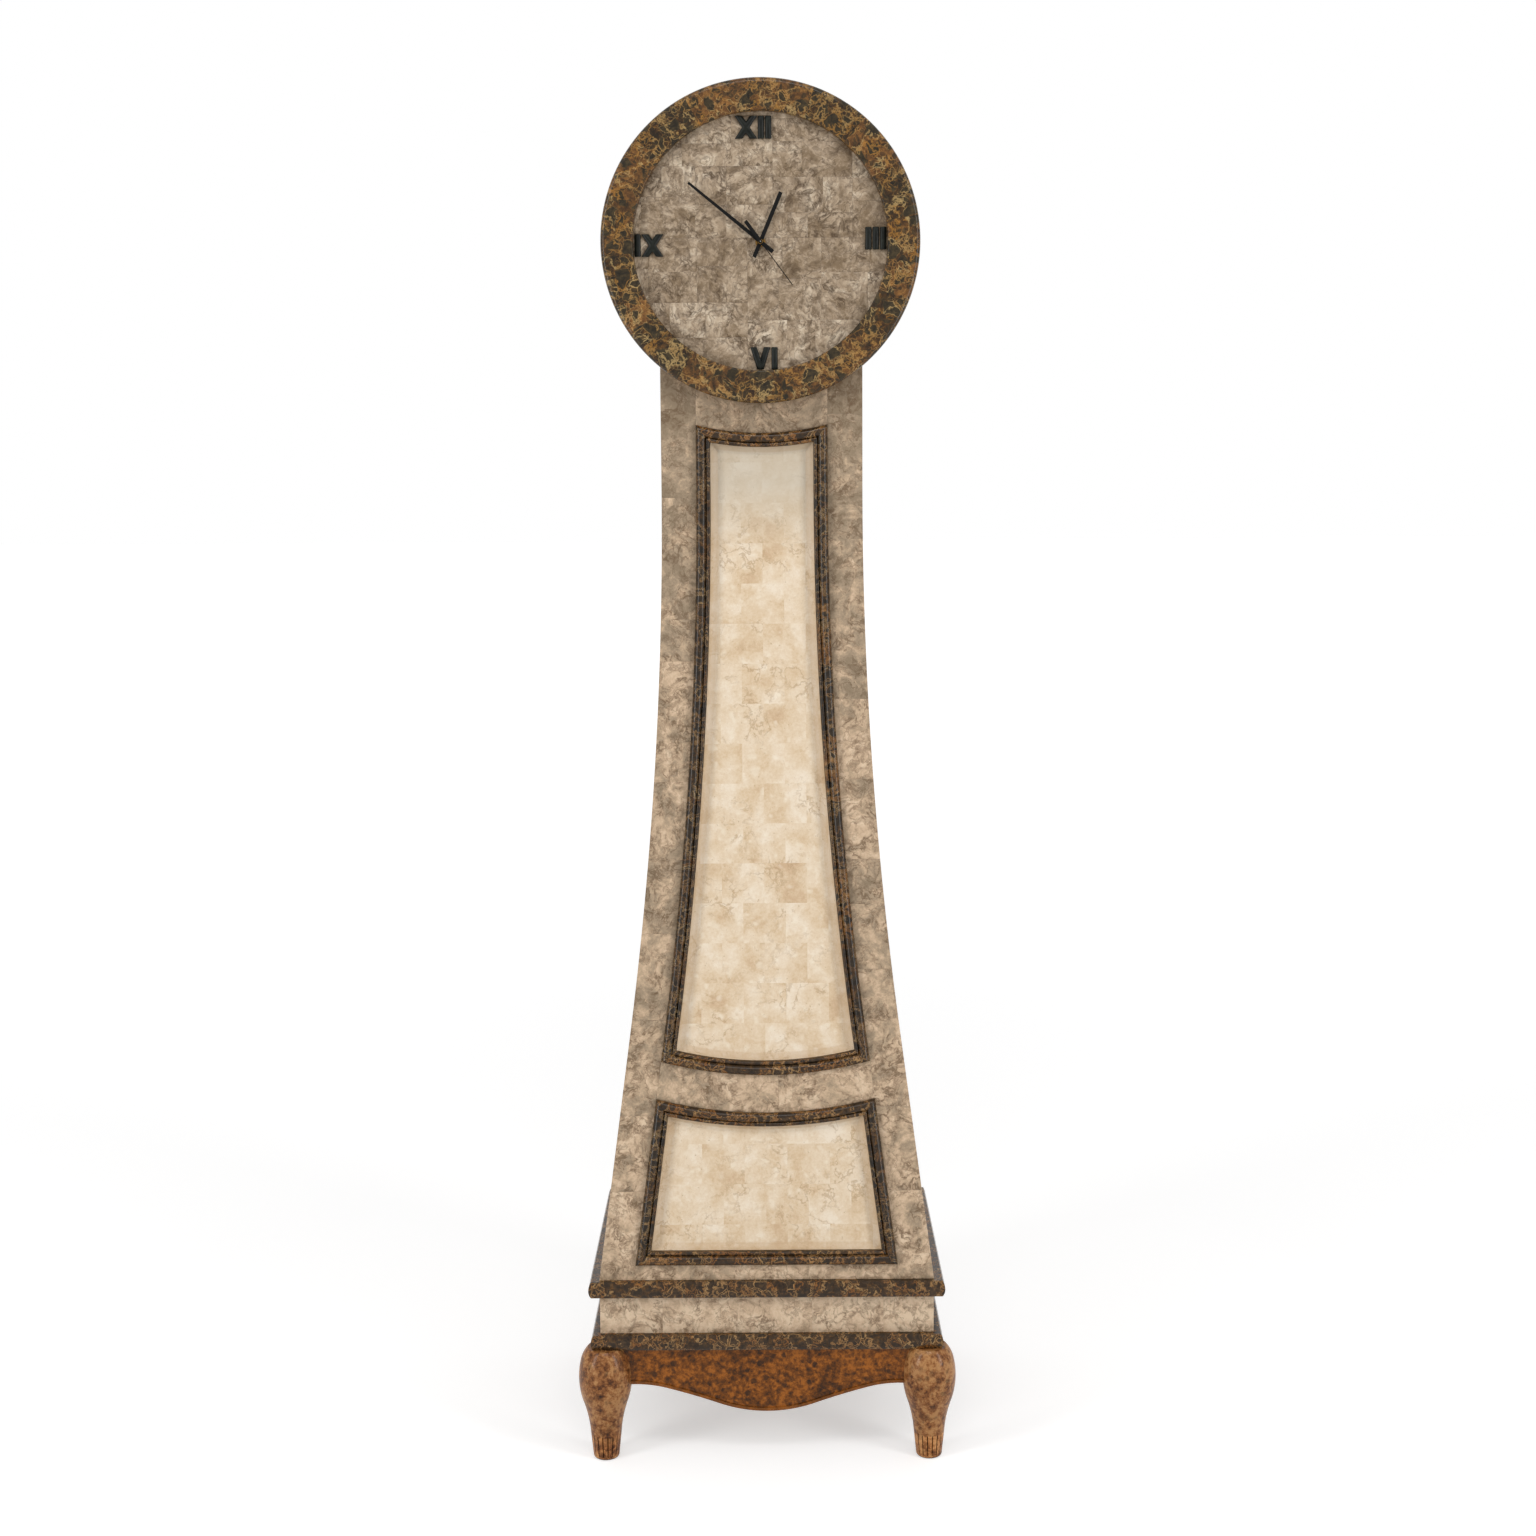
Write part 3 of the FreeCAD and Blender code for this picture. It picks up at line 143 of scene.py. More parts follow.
# Sealed softwood ply: pale fibres and faint late wood drawn out along the sheet, a dull dry sealer
def sealed_ply(name, along):
    made, tree, shader = material(name)
    place = add(tree, "TexCoord").outputs["Object"]
    stretch = [0.045 if axis == along else 1.0 for axis in range(3)]
    drawn = add(tree, "VectorMath", [place, stretch], operation="MULTIPLY")
    bent = warped(tree, drawn, 110, 22)
    swell = add(tree, "TexNoise", {"Vector": bent, "Scale": 1000 / 60, "Detail": 2, "Roughness": 0.4})
    rings = add(tree, "Math", [add(tree, "Math", [swell, 11.0], operation="MULTIPLY")], operation="FRACT")
    late = add(tree, "Math", [rings, 2.6], operation="POWER")
    fibre = add(tree, "TexNoise", {"Vector": drawn, "Scale": 1000 / 1.6, "Detail": 5, "Roughness": 0.7})
    grain = add(tree, "Math", [fibre, 0.5, 0.38], operation="MULTIPLY_ADD")
    grain = add(tree, "Math", [late, -0.20, grain], operation="MULTIPLY_ADD")
    body = add(tree, "ValToRGB", [grain], stops=PLY_TONES)
    hand = add(tree, "TexNoise", {"Vector": place, "Scale": 1000 / 140, "Detail": 5})
    body = add(tree, "Mix", {"Factor": add(tree, "MapRange", [hand, 0.35, 0.7, 0.0, 0.25]), "A": body,
        "B": colour("#7d5a3e")}, data_type="RGBA")
    finished(tree, shader, body, (fibre, 0.55, 0.75), 0.25, fibre, 0.15)
    return made


# Bent ply: its edge shows plies 1.5 mm thick round the head's axis, dark and pale by turns
def bent_ply():
    made, tree, shader = material("bent softwood ply")
    place = add(tree, "TexCoord").outputs["Object"]
    flat = add(tree, "VectorMath", [place, (1.0, 0.0, 1.0), (0.0, 0.0, -HEAD_Z * MM)],
        operation="MULTIPLY_ADD")
    out = add(tree, "VectorMath", [flat], operation="LENGTH")
    plies = add(tree, "Math", [add(tree, "Math", [out, 1000 / 3], operation="MULTIPLY")], operation="FRACT")
    fibre = add(tree, "TexNoise", {"Vector": place, "Scale": 1000 / 3, "Detail": 5, "Roughness": 0.7})
    grain = add(tree, "Math", [add(tree, "Math", [plies, 0.5], operation="GREATER_THAN"), 0.16, fibre],
        operation="MULTIPLY_ADD")
    body = add(tree, "ValToRGB", [grain], stops=PLY_TONES)
    finished(tree, shader, body, (fibre, 0.55, 0.75), 0.25, fibre, 0.1)
    return made


finish_nodes(sealed_ply("sealed softwood ply, grain upright", 2), "trunk_board_front", "trunk_board_left",
    "trunk_board_right", "trunk_board_back", "head_back")
finish_nodes(sealed_ply("sealed softwood, grain across", 0), "base_boards", "base_framing", "trunk_framing",
    "dial_board", "head_cradles")
finish_nodes(bent_ply(), "head_drum")


def plain_finish(name, dark, light, grain_mm, metallic, low, high, specular, depth):
    """A one-coloured finish with the slight clouds, uneven gloss and fine relief of its making."""
    made, tree, shader = material(name)
    place = add(tree, "TexCoord").outputs["Object"]
    cloud = add(tree, "TexNoise", {"Vector": place, "Scale": 1000 / grain_mm, "Detail": 6, "Roughness": 0.6})
    body = add(tree, "ValToRGB", [cloud], stops=[(0.3, dark), (0.7, light)])
    finished(tree, shader, body, (cloud, low, high), specular, cloud, depth)
    shader.inputs["Metallic"].default_value = metallic
    return made


def linked(name, data):
    """A new object, in the scene."""
    made = bpy.data.objects.new(name, data)
    bpy.context.scene.collection.objects.link(made)
    return made


def evaluated(holder):
    """The plain mesh that an object's modifiers make of it; the object itself goes."""
    data = bpy.data.meshes.new_from_object(holder.evaluated_get(bpy.context.evaluated_depsgraph_get()))
    holder.modifiers.clear()
    bpy.data.objects.remove(holder)
    return data


def dressed(name, data, finish, body, cad):
    """Makes a finished piece of a mesh: material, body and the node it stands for."""
    data.materials.clear()
    data.materials.append(finish)
    data.shade_smooth()
    data.set_sharp_from_angle(angle=math.radians(35))
    piece = linked(name, data)
    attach(piece, body)
    if cad:
        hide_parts(cad)


def new_tree(name, result, start, lengths, counts):
    """An empty Geometry Nodes tree with named inputs, and those inputs."""
    tree = bpy.data.node_groups.new(name, "GeometryNodeTree")
    tree.interface.new_socket(result, in_out="OUTPUT", socket_type="NodeSocketGeometry")
    values = [(label, "Float") for label in lengths] + [(label, "Int") for label in counts]
    for label, kind in [(start, "Geometry"), *values, ("Finish", "Material")]:
        tree.interface.new_socket(label, in_out="INPUT", socket_type="NodeSocket" + kind)
    return tree, add(tree, "NodeGroupInput").outputs


def grown(name, paths, tree, runs):
    """A tree's plain mesh, once for each run of its named values, on paths drawn in millimetres."""
    points = [Vector(point) * MM for path in paths for point in path]
    edges, start = [], 0
    for path in paths:
        edges += [(start + i, start + i + 1) for i in range(len(path) - 1)]
        start += len(path)
    data = bpy.data.meshes.new(name)
    data.from_pydata(points, edges, [])
    holder = linked(name, data)
    for values in runs:
        grower = holder.modifiers.new(tree.name, "NODES")
        grower.node_group = tree
        for socket in tree.interface.items_tree:
            if socket.in_out == "INPUT" and socket.name in values:
                grower[socket.identifier] = values[socket.name]
    return evaluated(holder)


def screw_tree():
    """Slotted round heads spaced along each path, facing the back, each turned its own way."""
    tree, given = new_tree("slotted screws", "Screws", "Paths",
        ("Spacing", "Head radius", "Head rise", "Slot width"), ("Seed",))
    path = add(tree, "GeometryNodeMeshToCurve", [given["Paths"]])
    spots = add(tree, "GeometryNodeResampleCurve", {"Curve": path, "Length": given["Spacing"]}, mode="LENGTH")
    ball = add(tree, "GeometryNodeMeshUVSphere", {
        "Segments": 20, "Rings": 10, "Radius": given["Head radius"]})
    low = add(tree, "Math", [given["Head rise"], given["Head radius"]], operation="DIVIDE")
    flat = add(tree, "CombineXYZ", [1.0, 1.0, low])
    head = add(tree, "GeometryNodeTransform", {"Geometry": ball, "Scale": flat})
    head = add(tree, "GeometryNodeTransform", {"Geometry": head, "Rotation": (math.pi / 2, 0, 0)})
    deep = add(tree, "Math", [given["Head rise"], 1.2], operation="MULTIPLY")
    reach = add(tree, "Math", [given["Head radius"], 3.0], operation="MULTIPLY")
    bar = add(tree, "GeometryNodeMeshCube", [add(tree, "CombineXYZ", [given["Slot width"], deep, reach])])
    up = add(tree, "CombineXYZ", [0.0, given["Head rise"], 0.0])
    bar = add(tree, "GeometryNodeTransform", {"Geometry": bar, "Translation": up})
    cut = add(tree, "GeometryNodeMeshBoolean", {"Mesh 1": head, "Mesh 2": bar}, operation="DIFFERENCE",
        solver="EXACT")
    turn = add(tree, "FunctionNodeRandomValue", {"Max": math.tau, "Seed": given["Seed"]}, data_type="FLOAT")
    placed = add(tree, "GeometryNodeInstanceOnPoints", {
        "Points": spots, "Instance": cut, "Rotation": add(tree, "CombineXYZ", [0.0, turn, 0.0])})
    real = add(tree, "GeometryNodeRealizeInstances", [placed])
    last = add(tree, "GeometryNodeSetMaterial", {"Geometry": real, "Material": given["Finish"]})
    add(tree, "NodeGroupOutput", [last])
    return tree


def screwed(name, paths, sizes, seed, finish, body):
    """Screws along paths. Sizes are their pitch, head radius, head rise and slot width."""
    pitch, radius, rise, cut = [size * MM for size in sizes]
    data = grown(name, paths, slotted_screws, [{"Spacing": pitch, "Head radius": radius, "Head rise": rise,
        "Slot width": cut, "Seed": seed, "Finish": finish}])
    dressed(name, data, finish, body, None)


# Zinc plated steel: bluish grey and faintly clouded, a soft metallic shine
zinc = plain_finish("zinc plated steel", "#8c8c8a", "#a9a9a6", 2, 1.0, 0.3, 0.45, 0.5, 0.02)
slotted_screws = screw_tree()
EDGE_IN, SCREW_RING_R = 12.5, 194.0
paths = [[(side * (NECK_HALF + flare(z) - EDGE_IN), BACK_Y, z) for z in range(296, 1560, 32)]
    for side in (-1, 1)]
for half, rail_z in ((150, 539), (210, 219)):
    paths.append([(-half, BACK_Y, rail_z), (half, BACK_Y, rail_z)])
paths.append([(SCREW_RING_R * math.sin(math.radians(t)), BACK_Y,
    HEAD_Z + SCREW_RING_R * math.cos(math.radians(t))) for t in range(0, 331, 10)])
screwed("back_screws", paths, (101.2, 3.6, 0.9, 0.9), 3, zinc, "case")

# Legs and aprons: turned legs with a reeded foot, bolted into the base's corners, and shaped apron
# boards between them, in walnut with a mottled burr figure, under a warm rubbed lacquer.

LEG_X, LEG_Y, FOOT_R, COLLAR_R, COLLAR_Z = 237.0, 177.0, 19.0, 22.4, 37.0
APRON_X, APRON_Y = 245.5, 185.5


# Lacquered burr walnut: copper brown mottle and dark clustered eyes, with painted shade in the cuts and a
# painted highlight on the proud edges
def burr_walnut(name, stops, figure_mm, eyes, off_surface, cut, proud, highlight_tone):
    """Figure is the mottle's size in mm, and eyes give how dark and how big they are. Cut and proud are
    heights off the plain surface, in mm, between which the hollows get painted shade and the proud edges a
    painted highlight in the highlight tone."""
    made, tree, shader = material(name)
    place = add(tree, "TexCoord").outputs["Object"]
    bent = warped(tree, warped(tree, place, 30, figure_mm * 0.8), 9, figure_mm * 0.3)
    mottle = add(tree, "TexNoise", {"Vector": bent, "Scale": 1000 / figure_mm, "Detail": 8, "Roughness": 0.7})
    fleck = add(tree, "TexNoise", {"Vector": bent, "Scale": 1000 / 3.4, "Detail": 4, "Roughness": 0.7})
    broad = add(tree, "TexNoise", {"Vector": place, "Scale": 1000 / 62, "Detail": 2})
    body = add(tree, "Math", [fleck, 0.35, mottle], operation="MULTIPLY_ADD")
    body = add(tree, "ValToRGB", [add(tree, "Math", [broad, 0.4, body], operation="MULTIPLY_ADD")],
        stops=stops)
    near = add(tree, "TexVoronoi", {"Vector": bent, "Scale": 1000 / eyes[1]}, feature="SMOOTH_F1")
    cell = add(tree, "TexVoronoi", {"Vector": bent, "Scale": 1000 / eyes[1]}, feature="F1")
    lot = add(tree, "SeparateColor", [cell.outputs["Color"]])
    reach = add(tree, "Math", [lot, 0.55, -0.05], operation="MULTIPLY_ADD")
    inside = add(tree, "Math", [reach, near], operation="SUBTRACT")
    cluster = add(tree, "TexNoise", {"Vector": place, "Scale": 1000 / 30, "Detail": 4, "Roughness": 0.7})
    spot = add(tree, "Math", [add(tree, "MapRange", [inside, -0.10, 0.12, 0.0, eyes[0]]),
        add(tree, "MapRange", [cluster, 0.40, 0.56, 0.15, 1.0])], operation="MULTIPLY")
    height = off_surface(tree)
    # Painted shade: the hollows of the cuts are darkened.
    cut_shade = add(tree, "MapRange", [height, cut[0] * MM, cut[1] * MM, 0.75, 0.0])
    # Painted highlight: the proud reed ridges and beads are lightened.
    proud_highlight = add(tree, "MapRange", [height, proud[0] * MM, proud[1] * MM, 0.0, 0.45])
    for share, tone in ((spot, "#1c1108"), (cut_shade, "#1a1008"), (proud_highlight, highlight_tone)):
        body = add(tree, "Mix", {"Factor": share, "A": body, "B": colour(tone)}, data_type="RGBA")
    finished(tree, shader, body, (mottle, 0.32, 0.48), 0.10, fleck, 0.04)
    shader.inputs["Coat Weight"].default_value = 0.22
    shader.inputs["Coat Roughness"].default_value = 0.12
    return made


def off_foot(tree):
    """How far a point stands out from the plain tapered foot of its leg; nought above the collar."""
    place = add(tree, "SeparateXYZ", [add(tree, "TexCoord").outputs["Object"]])
    aside = [add(tree, "Math", [add(tree, "Math", [place.outputs[axis]], operation="ABSOLUTE"), leg * MM],
        operation="SUBTRACT") for axis, leg in (("X", LEG_X), ("Y", LEG_Y))]
    out = add(tree, "VectorMath", [add(tree, "CombineXYZ", [*aside, 0.0])], operation="LENGTH")
    cone = add(tree, "Math", [place.outputs["Z"], (COLLAR_R - FOOT_R) / COLLAR_Z, (FOOT_R - 0.5) * MM],
        operation="MULTIPLY_ADD")
    below = add(tree, "MapRange", [place.outputs["Z"], (COLLAR_Z - 2) * MM, COLLAR_Z * MM, 1.0, 0.0])
    proud = add(tree, "Math", [out, cone], operation="SUBTRACT")
    return add(tree, "Math", [proud, below], operation="MULTIPLY")


def off_apron(tree):
    """How far a point stands out from the aprons' plain faces."""
    place = add(tree, "VectorMath", [add(tree, "TexCoord").outputs["Object"]], operation="ABSOLUTE")
    over = add(tree, "VectorMath", [place, (APRON_X * MM, APRON_Y * MM, 0.0)], operation="SUBTRACT")
    parts = add(tree, "SeparateXYZ", [over])
    return add(tree, "Math", [parts.outputs["X"], parts.outputs["Y"]], operation="MAXIMUM")


# The last tone is the painted highlight on the reeds' ridges.
leg_walnut = burr_walnut("lacquered turned walnut",
    [(0.64, "#30180a"), (0.75, "#71421f"), (0.85, "#a36838"), (0.97, "#d09860")], 10, (0.5, 8),
    off_foot, (-0.3, 0.3), (0.3, 0.5), "#b58250")
finish_nodes(leg_walnut, "leg_front_left", "leg_front_right", "leg_rear_left", "leg_rear_right")
# The last tone is the painted highlight on the beads.
apron_walnut = burr_walnut("lacquered copper burr walnut",
    [(0.64, "#221002"), (0.76, "#4a2806"), (0.87, "#6e3d0d"), (1.0, "#98591d")], 8, (0.8, 9),
    off_apron, (-40, -30), (0.4, 1.8), "#7c4a1d")
finish_nodes(apron_walnut, "apron_front", "apron_rear", "apron_sides")
finish_nodes(zinc, "leg_bolts")

# Trunk skin, front: honed grey-beige stone, sawn into tiles 5 mm thick and glued to a board.
# A stile of tiles runs up each edge and short rails lie between the panels. The joints are
# butted dry, and the arrises are just broken, so each tile's own figure shows where it ends.

STILE, JOINT, BROKEN_EDGE, TILE_T, CLEAR = 50.0, 0.04, 0.15, 4.6, 0.4
UPPER_TOP, UPPER_TOP_SAG, UPPER_FOOT, UPPER_FOOT_SAG = 1491.8, 11.7, 566.0, 20.0
LOWER_TOP, LOWER_TOP_SAG, LOWER_FOOT = 512.0, 20.0, 293.5


def wandering(tree, place, mm, middle=0.5, detail=6):
    """Nought along thin wandering lines, and more the further from them."""
    drift = add(tree, "TexNoise", {"Vector": place, "Scale": 1000 / mm, "Detail": detail, "Roughness": 0.6})
    return add(tree, "Math", [add(tree, "Math", [drift, middle], operation="SUBTRACT")], operation="ABSOLUTE")


def figured_stone(name, tones, line_tone, line, band, roughness):
    """Clouded stone with a web of dark hairlines and swirling growth bands, cut afresh in every tile.
    Line and band give how strong each is and its size in millimetres."""
    made, tree, shader = material(name)
    place = add(tree, "Attribute", attribute_name="grain").outputs["Vector"]
    tint = add(tree, "Attribute", attribute_name="tint").outputs["Fac"]
    bent = warped(tree, warped(tree, place, 60, 55), 12, 9)
    cloud = add(tree, "TexNoise", {"Vector": bent, "Scale": 1000 / 30, "Detail": 8, "Roughness": 0.66})
    grit = add(tree, "TexNoise", {"Vector": place, "Scale": 1000 / 3.2, "Detail": 5, "Roughness": 0.8})
    shell = add(tree, "TexVoronoi", {"Vector": bent, "Scale": 1000 / 11}, feature="SMOOTH_F1")
    body = add(tree, "Math", [grit, 0.42, cloud], operation="MULTIPLY_ADD")
    body = add(tree, "Math", [shell, -0.20, body], operation="MULTIPLY_ADD")
    body = add(tree, "ValToRGB", [add(tree, "Math", [tint, 0.09, body], operation="MULTIPLY_ADD")],
        stops=tones)
    swirl = add(tree, "TexNoise", {"Vector": bent, "Scale": 1000 / band[1], "Detail": 4, "Roughness": 0.5})
    wave = add(tree, "Math", [add(tree, "Math", [swirl, 13.0], operation="MULTIPLY")], operation="FRACT")
    growth = add(tree, "Math", [add(tree, "MapRange", [wave, 0.0, 0.5, band[0], 0.0]),
        add(tree, "MapRange", [cloud, 0.40, 0.62, 0.30, 1.0])], operation="MULTIPLY")
    knots = add(tree, "TexNoise", {"Vector": place, "Scale": 1000 / 34, "Detail": 4, "Roughness": 0.7})
    fine = wandering(tree, bent, line[1])
    web = add(tree, "Math", [add(tree, "MapRange", [fine, 0.0, 0.075, 1.0, 0.0]),
        add(tree, "MapRange", [knots, 0.42, 0.60])], operation="MULTIPLY")
    stray = wandering(tree, bent, line[1] * 3.2, 0.52)
    web = add(tree, "Math", [web, add(tree, "MapRange", [stray, 0.0, 0.016, 0.7, 0.0])], operation="MAXIMUM")
    share = add(tree, "Math", [web, line[0]], operation="MULTIPLY")
    for dark in (growth, share):
        body = add(tree, "Mix", {"Factor": dark, "A": body, "B": colour(line_tone)}, data_type="RGBA")
    finished(tree, shader, body, (cloud, roughness - 0.05, roughness + 0.1), 0.3, web, -0.10)
    return made


# Honed limestone: warm grey-beige clouds and fine umber hairlines, a dull wax sheen
skin_stone = figured_stone("honed grey-beige limestone",
    [(0.46, "#86755f"), (0.58, "#9c8972"), (0.66, "#b0997e"), (0.74, "#c2a88c"), (0.86, "#d1ba9e")],
    "#5a432c", (0.85, 16), (0.07, 70), 0.42)


def new_tiles():
    """An empty mesh whose corners carry their tile's grain and tint."""
    mesh = bmesh.new()
    mesh.verts.layers.float_vector.new("grain")
    mesh.verts.layers.float.new("tint")
    return mesh


def own_grain(rng, most=math.tau):
    """The turn and the shift that give a tile its own piece of the stone's figure."""
    turn = Euler([rng.uniform(0, most) for _ in range(3)]).to_matrix()
    return turn, Vector([rng.uniform(-3, 3) for _ in range(3)])


def corner(mesh, point, grain, tint):
    """One corner of a tile, at a point in millimetres."""
    vert = mesh.verts.new(Vector(point) * MM)
    vert[mesh.verts.layers.float_vector["grain"]] = grain[0] @ vert.co + grain[1]
    vert[mesh.verts.layers.float["tint"]] = tint
    return vert


def patch(mesh, place, across, along, rng, tone=0.0):
    """Adds the face of one tile; place(u, v) gives a point in millimetres."""
    grain = own_grain(rng)
    tint = min(max(rng.gauss(tone, 0.3), -2.2), 2.6)
    rows = [[corner(mesh, place(i / across, j / along), grain, tint) for i in range(across + 1)]
        for j in range(along + 1)]
    for low, high in zip(rows, rows[1:]):
        for i in range(across):
            mesh.faces.new((low[i], low[i + 1], high[i + 1], high[i]))


def settled(name, mesh):
    """A mesh that is done, as mesh data."""
    data = bpy.data.meshes.new(name)
    mesh.to_mesh(data)
    mesh.free()
    return data


def solid_of(name, mesh, broken, thick=0.0):
    """A mesh with broken arrises; bare faces are first made slabs of a thickness, inwards."""
    rough = linked(name, settled(name, mesh))
    if thick:
        slab = rough.modifiers.new("slab", "SOLIDIFY")
        slab.thickness, slab.offset = thick * MM, -1.0
    arris = rough.modifiers.new("arris", "BEVEL")
    arris.width, arris.segments = broken * MM, 2
    arris.limit_method, arris.angle_limit = "ANGLE", math.radians(40)
    return evaluated(rough)


def laid(name, mesh, thick, finish, cad, broken=BROKEN_EDGE):
    """Makes slabs of tile faces, and has them stand for a CAD node of the case."""
    dressed(name, solid_of(name, mesh, broken, thick), finish, "case", cad)


def front(x, z):
    """A point on the trunk's front."""
    return x, -(NECK_FRONT + flare(z)), z


def sagging(mid, sag, x):
    """Height of a frame's outer edge across the front."""
    half = NECK_HALF - STILE + flare(mid + sag)
    radius = (half ** 2 + sag ** 2) / (2 * sag)
    return mid + radius - math.sqrt(radius ** 2 - min(abs(x), half) ** 2)


def drum_foot(x):
    """Height of the drum's underside."""
    return HEAD_Z - math.sqrt(DRUM_R ** 2 - x ** 2)


def stile_patch(mesh, side, low, high, rng, tone):
    """One tile of a stile; its top may follow the drum."""
    def place(u, v):
        z = low
        for _ in range(4):
            inner = NECK_HALF - STILE + flare(z) + JOINT
            outer = NECK_HALF + flare(z)
            x = inner + (outer - inner) * u
            top = high if high else drum_foot(x)
            z = low + JOINT + (top - low - 2 * JOINT) * v
        return front(side * x, z)

    steps = max(3, int(((high or 1580) - low) / 18))
    patch(mesh, (lambda u, v: place(1 - u, v)) if side < 0 else place, 4, steps, rng, tone)


def rail_patch(mesh, start, end, low_edge, high_edge, rng, tone):
    """One tile of a rail between the stiles; start and end run from -1 to 1 across it."""
    def place(u, v):
        z = low_edge(0)
        for _ in range(4):
            half = NECK_HALF - STILE + flare(z) - JOINT
            x = half * (start + (end - start) * u)
            z = low_edge(x) + (high_edge(x) - low_edge(x)) * v
        return front(x + JOINT * (1 - 2 * u), z)

    patch(mesh, place, 12, 5, rng, tone)


tiles = new_tiles()
rng = random.Random(11)
left_seams = [TRUNK_FOOT, 399, 508, 646, 770, 877, 990, 1165, 1225, 1400, None]
right_seams = [TRUNK_FOOT, 399, 520, 646, 718, 812, 877, 993, 1109, 1340, 1518, None]
# Tile tones: painted light lightens the low tiles and painted shade darkens the high ones, on top of each
# tile's random tone.
left_light_shade_tones = [0.9, 0.6, 0.2, 0.1, -0.1, 0.1, -0.1, -0.1, -1.0, -1.2]
right_light_shade_tones = [0.7, 0.5, 0.4, 0.1, 0.5, 0.1, 0.8, 1.0, 0.2, -0.8, -1.4]
for side, seams, tones in ((-1, left_seams, left_light_shade_tones), (1, right_seams, right_light_shade_tones)):
    for low, high, tone in zip(seams, seams[1:], tones):
        stile_patch(tiles, side, low, high, rng, tone)
top_rail = (lambda x: sagging(UPPER_TOP, UPPER_TOP_SAG, x), drum_foot)
middle_rail = (
    lambda x: sagging(LOWER_TOP, LOWER_TOP_SAG, x), lambda x: sagging(UPPER_FOOT, UPPER_FOOT_SAG, x))
foot_rail = (lambda x: TRUNK_FOOT, lambda x: LOWER_FOOT)
# The rails' tones likewise: painted shade on the top rail under the head, painted light on the foot rail.
for edges, seams, tone in ((top_rail, (-1, 1), -0.9), (middle_rail, (-1, -0.78, 0.12, 1), 0.6),
        (foot_rail, (-1, -0.24, 0.32, 1), 0.9)):
    for start, end in zip(seams, seams[1:]):
        rail_patch(tiles, start, end, *edges, rng, tone)
laid("trunk_front_tiles", tiles, TILE_T, skin_stone, "trunk_stone_front")

# Trunk skin, sides: the same stone in bigger tiles, three across, laid in uneven rows and butted
# behind the edge of the front's tiles. They are glued to the side boards like the front's.

tiles = new_tiles()
for side in (-1, 1):
    rows = [TRUNK_FOOT, 402, 525, 650, 782, 905, 1030, 1165, 1290, 1415, None]
    for row, (low, high) in enumerate(zip(rows, rows[1:])):
        columns = (0.0, 0.36, 0.70, 1.0) if row % 2 else (0.0, 0.26, 0.62, 1.0)
        for start, end in zip(columns, columns[1:]):
            def place(u, v, side=side, low=low, high=high, start=start, end=end):
                top = high if high else drum_foot(NECK_HALF)
                z = low + JOINT + (top - low - 2 * JOINT) * v
                near = -(NECK_FRONT + flare(z)) + TILE_T + CLEAR
                y = near + (BACK_Y - near) * (start + (end - start) * u) + JOINT * (1 - 2 * u)
                return side * (NECK_HALF + flare(z)), y, z

            patch(tiles, (lambda u, v: place(1 - u, v)) if side < 0 else place, 4, 7, rng)
laid("trunk_side_tiles", tiles, TILE_T, skin_stone, "trunk_stone_sides")

# Frieze: a band of the same stone between the two base mouldings, tiles end to end, made paler than the
# trunk's by painted light. They are glued to the base boards, and butt at the front corners.

FRIEZE_HALF, FRIEZE_FRONT, FRIEZE_LOW, FRIEZE_HIGH = 243.0, 183.0, 190.0, 248.0
tiles = new_tiles()
# The raised tone, 2.1, of these tiles and of the side tiles is painted light.
for start, end in zip((-243, -152, -43, 66, 170), (-152, -43, 66, 170, 243)):
    patch(tiles, lambda u, v: (start + JOINT + (end - start - 2 * JOINT) * u, -FRIEZE_FRONT,
        FRIEZE_LOW + (FRIEZE_HIGH - FRIEZE_LOW) * v), 4, 3, rng, 2.1)
for side in (-1, 1):
    for start, end in zip((-178, -80, 30, 120), (-80, 30, 120, 200)):
        first, last = (end, start) if side < 0 else (start, end)
        patch(tiles, lambda u, v: (side * FRIEZE_HALF, first + (last - first) * u,
            FRIEZE_LOW + (FRIEZE_HIGH - FRIEZE_LOW) * v), 4, 3, rng, 2.1)
laid("frieze_tiles", tiles, TILE_T, skin_stone, "frieze_stone")

# Panels: cream fossil marble in squares about 60 mm across, ground to a coved margin that runs
# down to the sunk field, and honed. They are let into the openings of the front board.


def block_values(tree, place, sizes):
    """A random value and a shifted place for each block of a grid; sizes are in millimetres.
    Every other row is set over by half a block where the grid has rows."""
    cell = add(tree, "VectorMath", [place, [s * MM for s in sizes]], operation="DIVIDE")
    spot = add(tree, "SeparateXYZ", [cell])
    row = add(tree, "Math", [spot.outputs["Z"]], operation="FLOOR")
    across = add(tree, "Math", [row, 0.5, spot.outputs["X"]], operation="MULTIPLY_ADD")
    block = add(tree, "VectorMath", [add(tree, "CombineXYZ", [across, spot.outputs["Y"], row])],
        operation="FLOOR")
    lot = add(tree, "TexWhiteNoise", [block])
    spread = add(tree, "VectorMath", {0: lot.outputs["Color"], "Scale": 7.0}, operation="SCALE")
    return lot.outputs["Value"], add(tree, "VectorMath", [place, spread], operation="ADD")


PANEL_TILE = (62, 5000, 58)
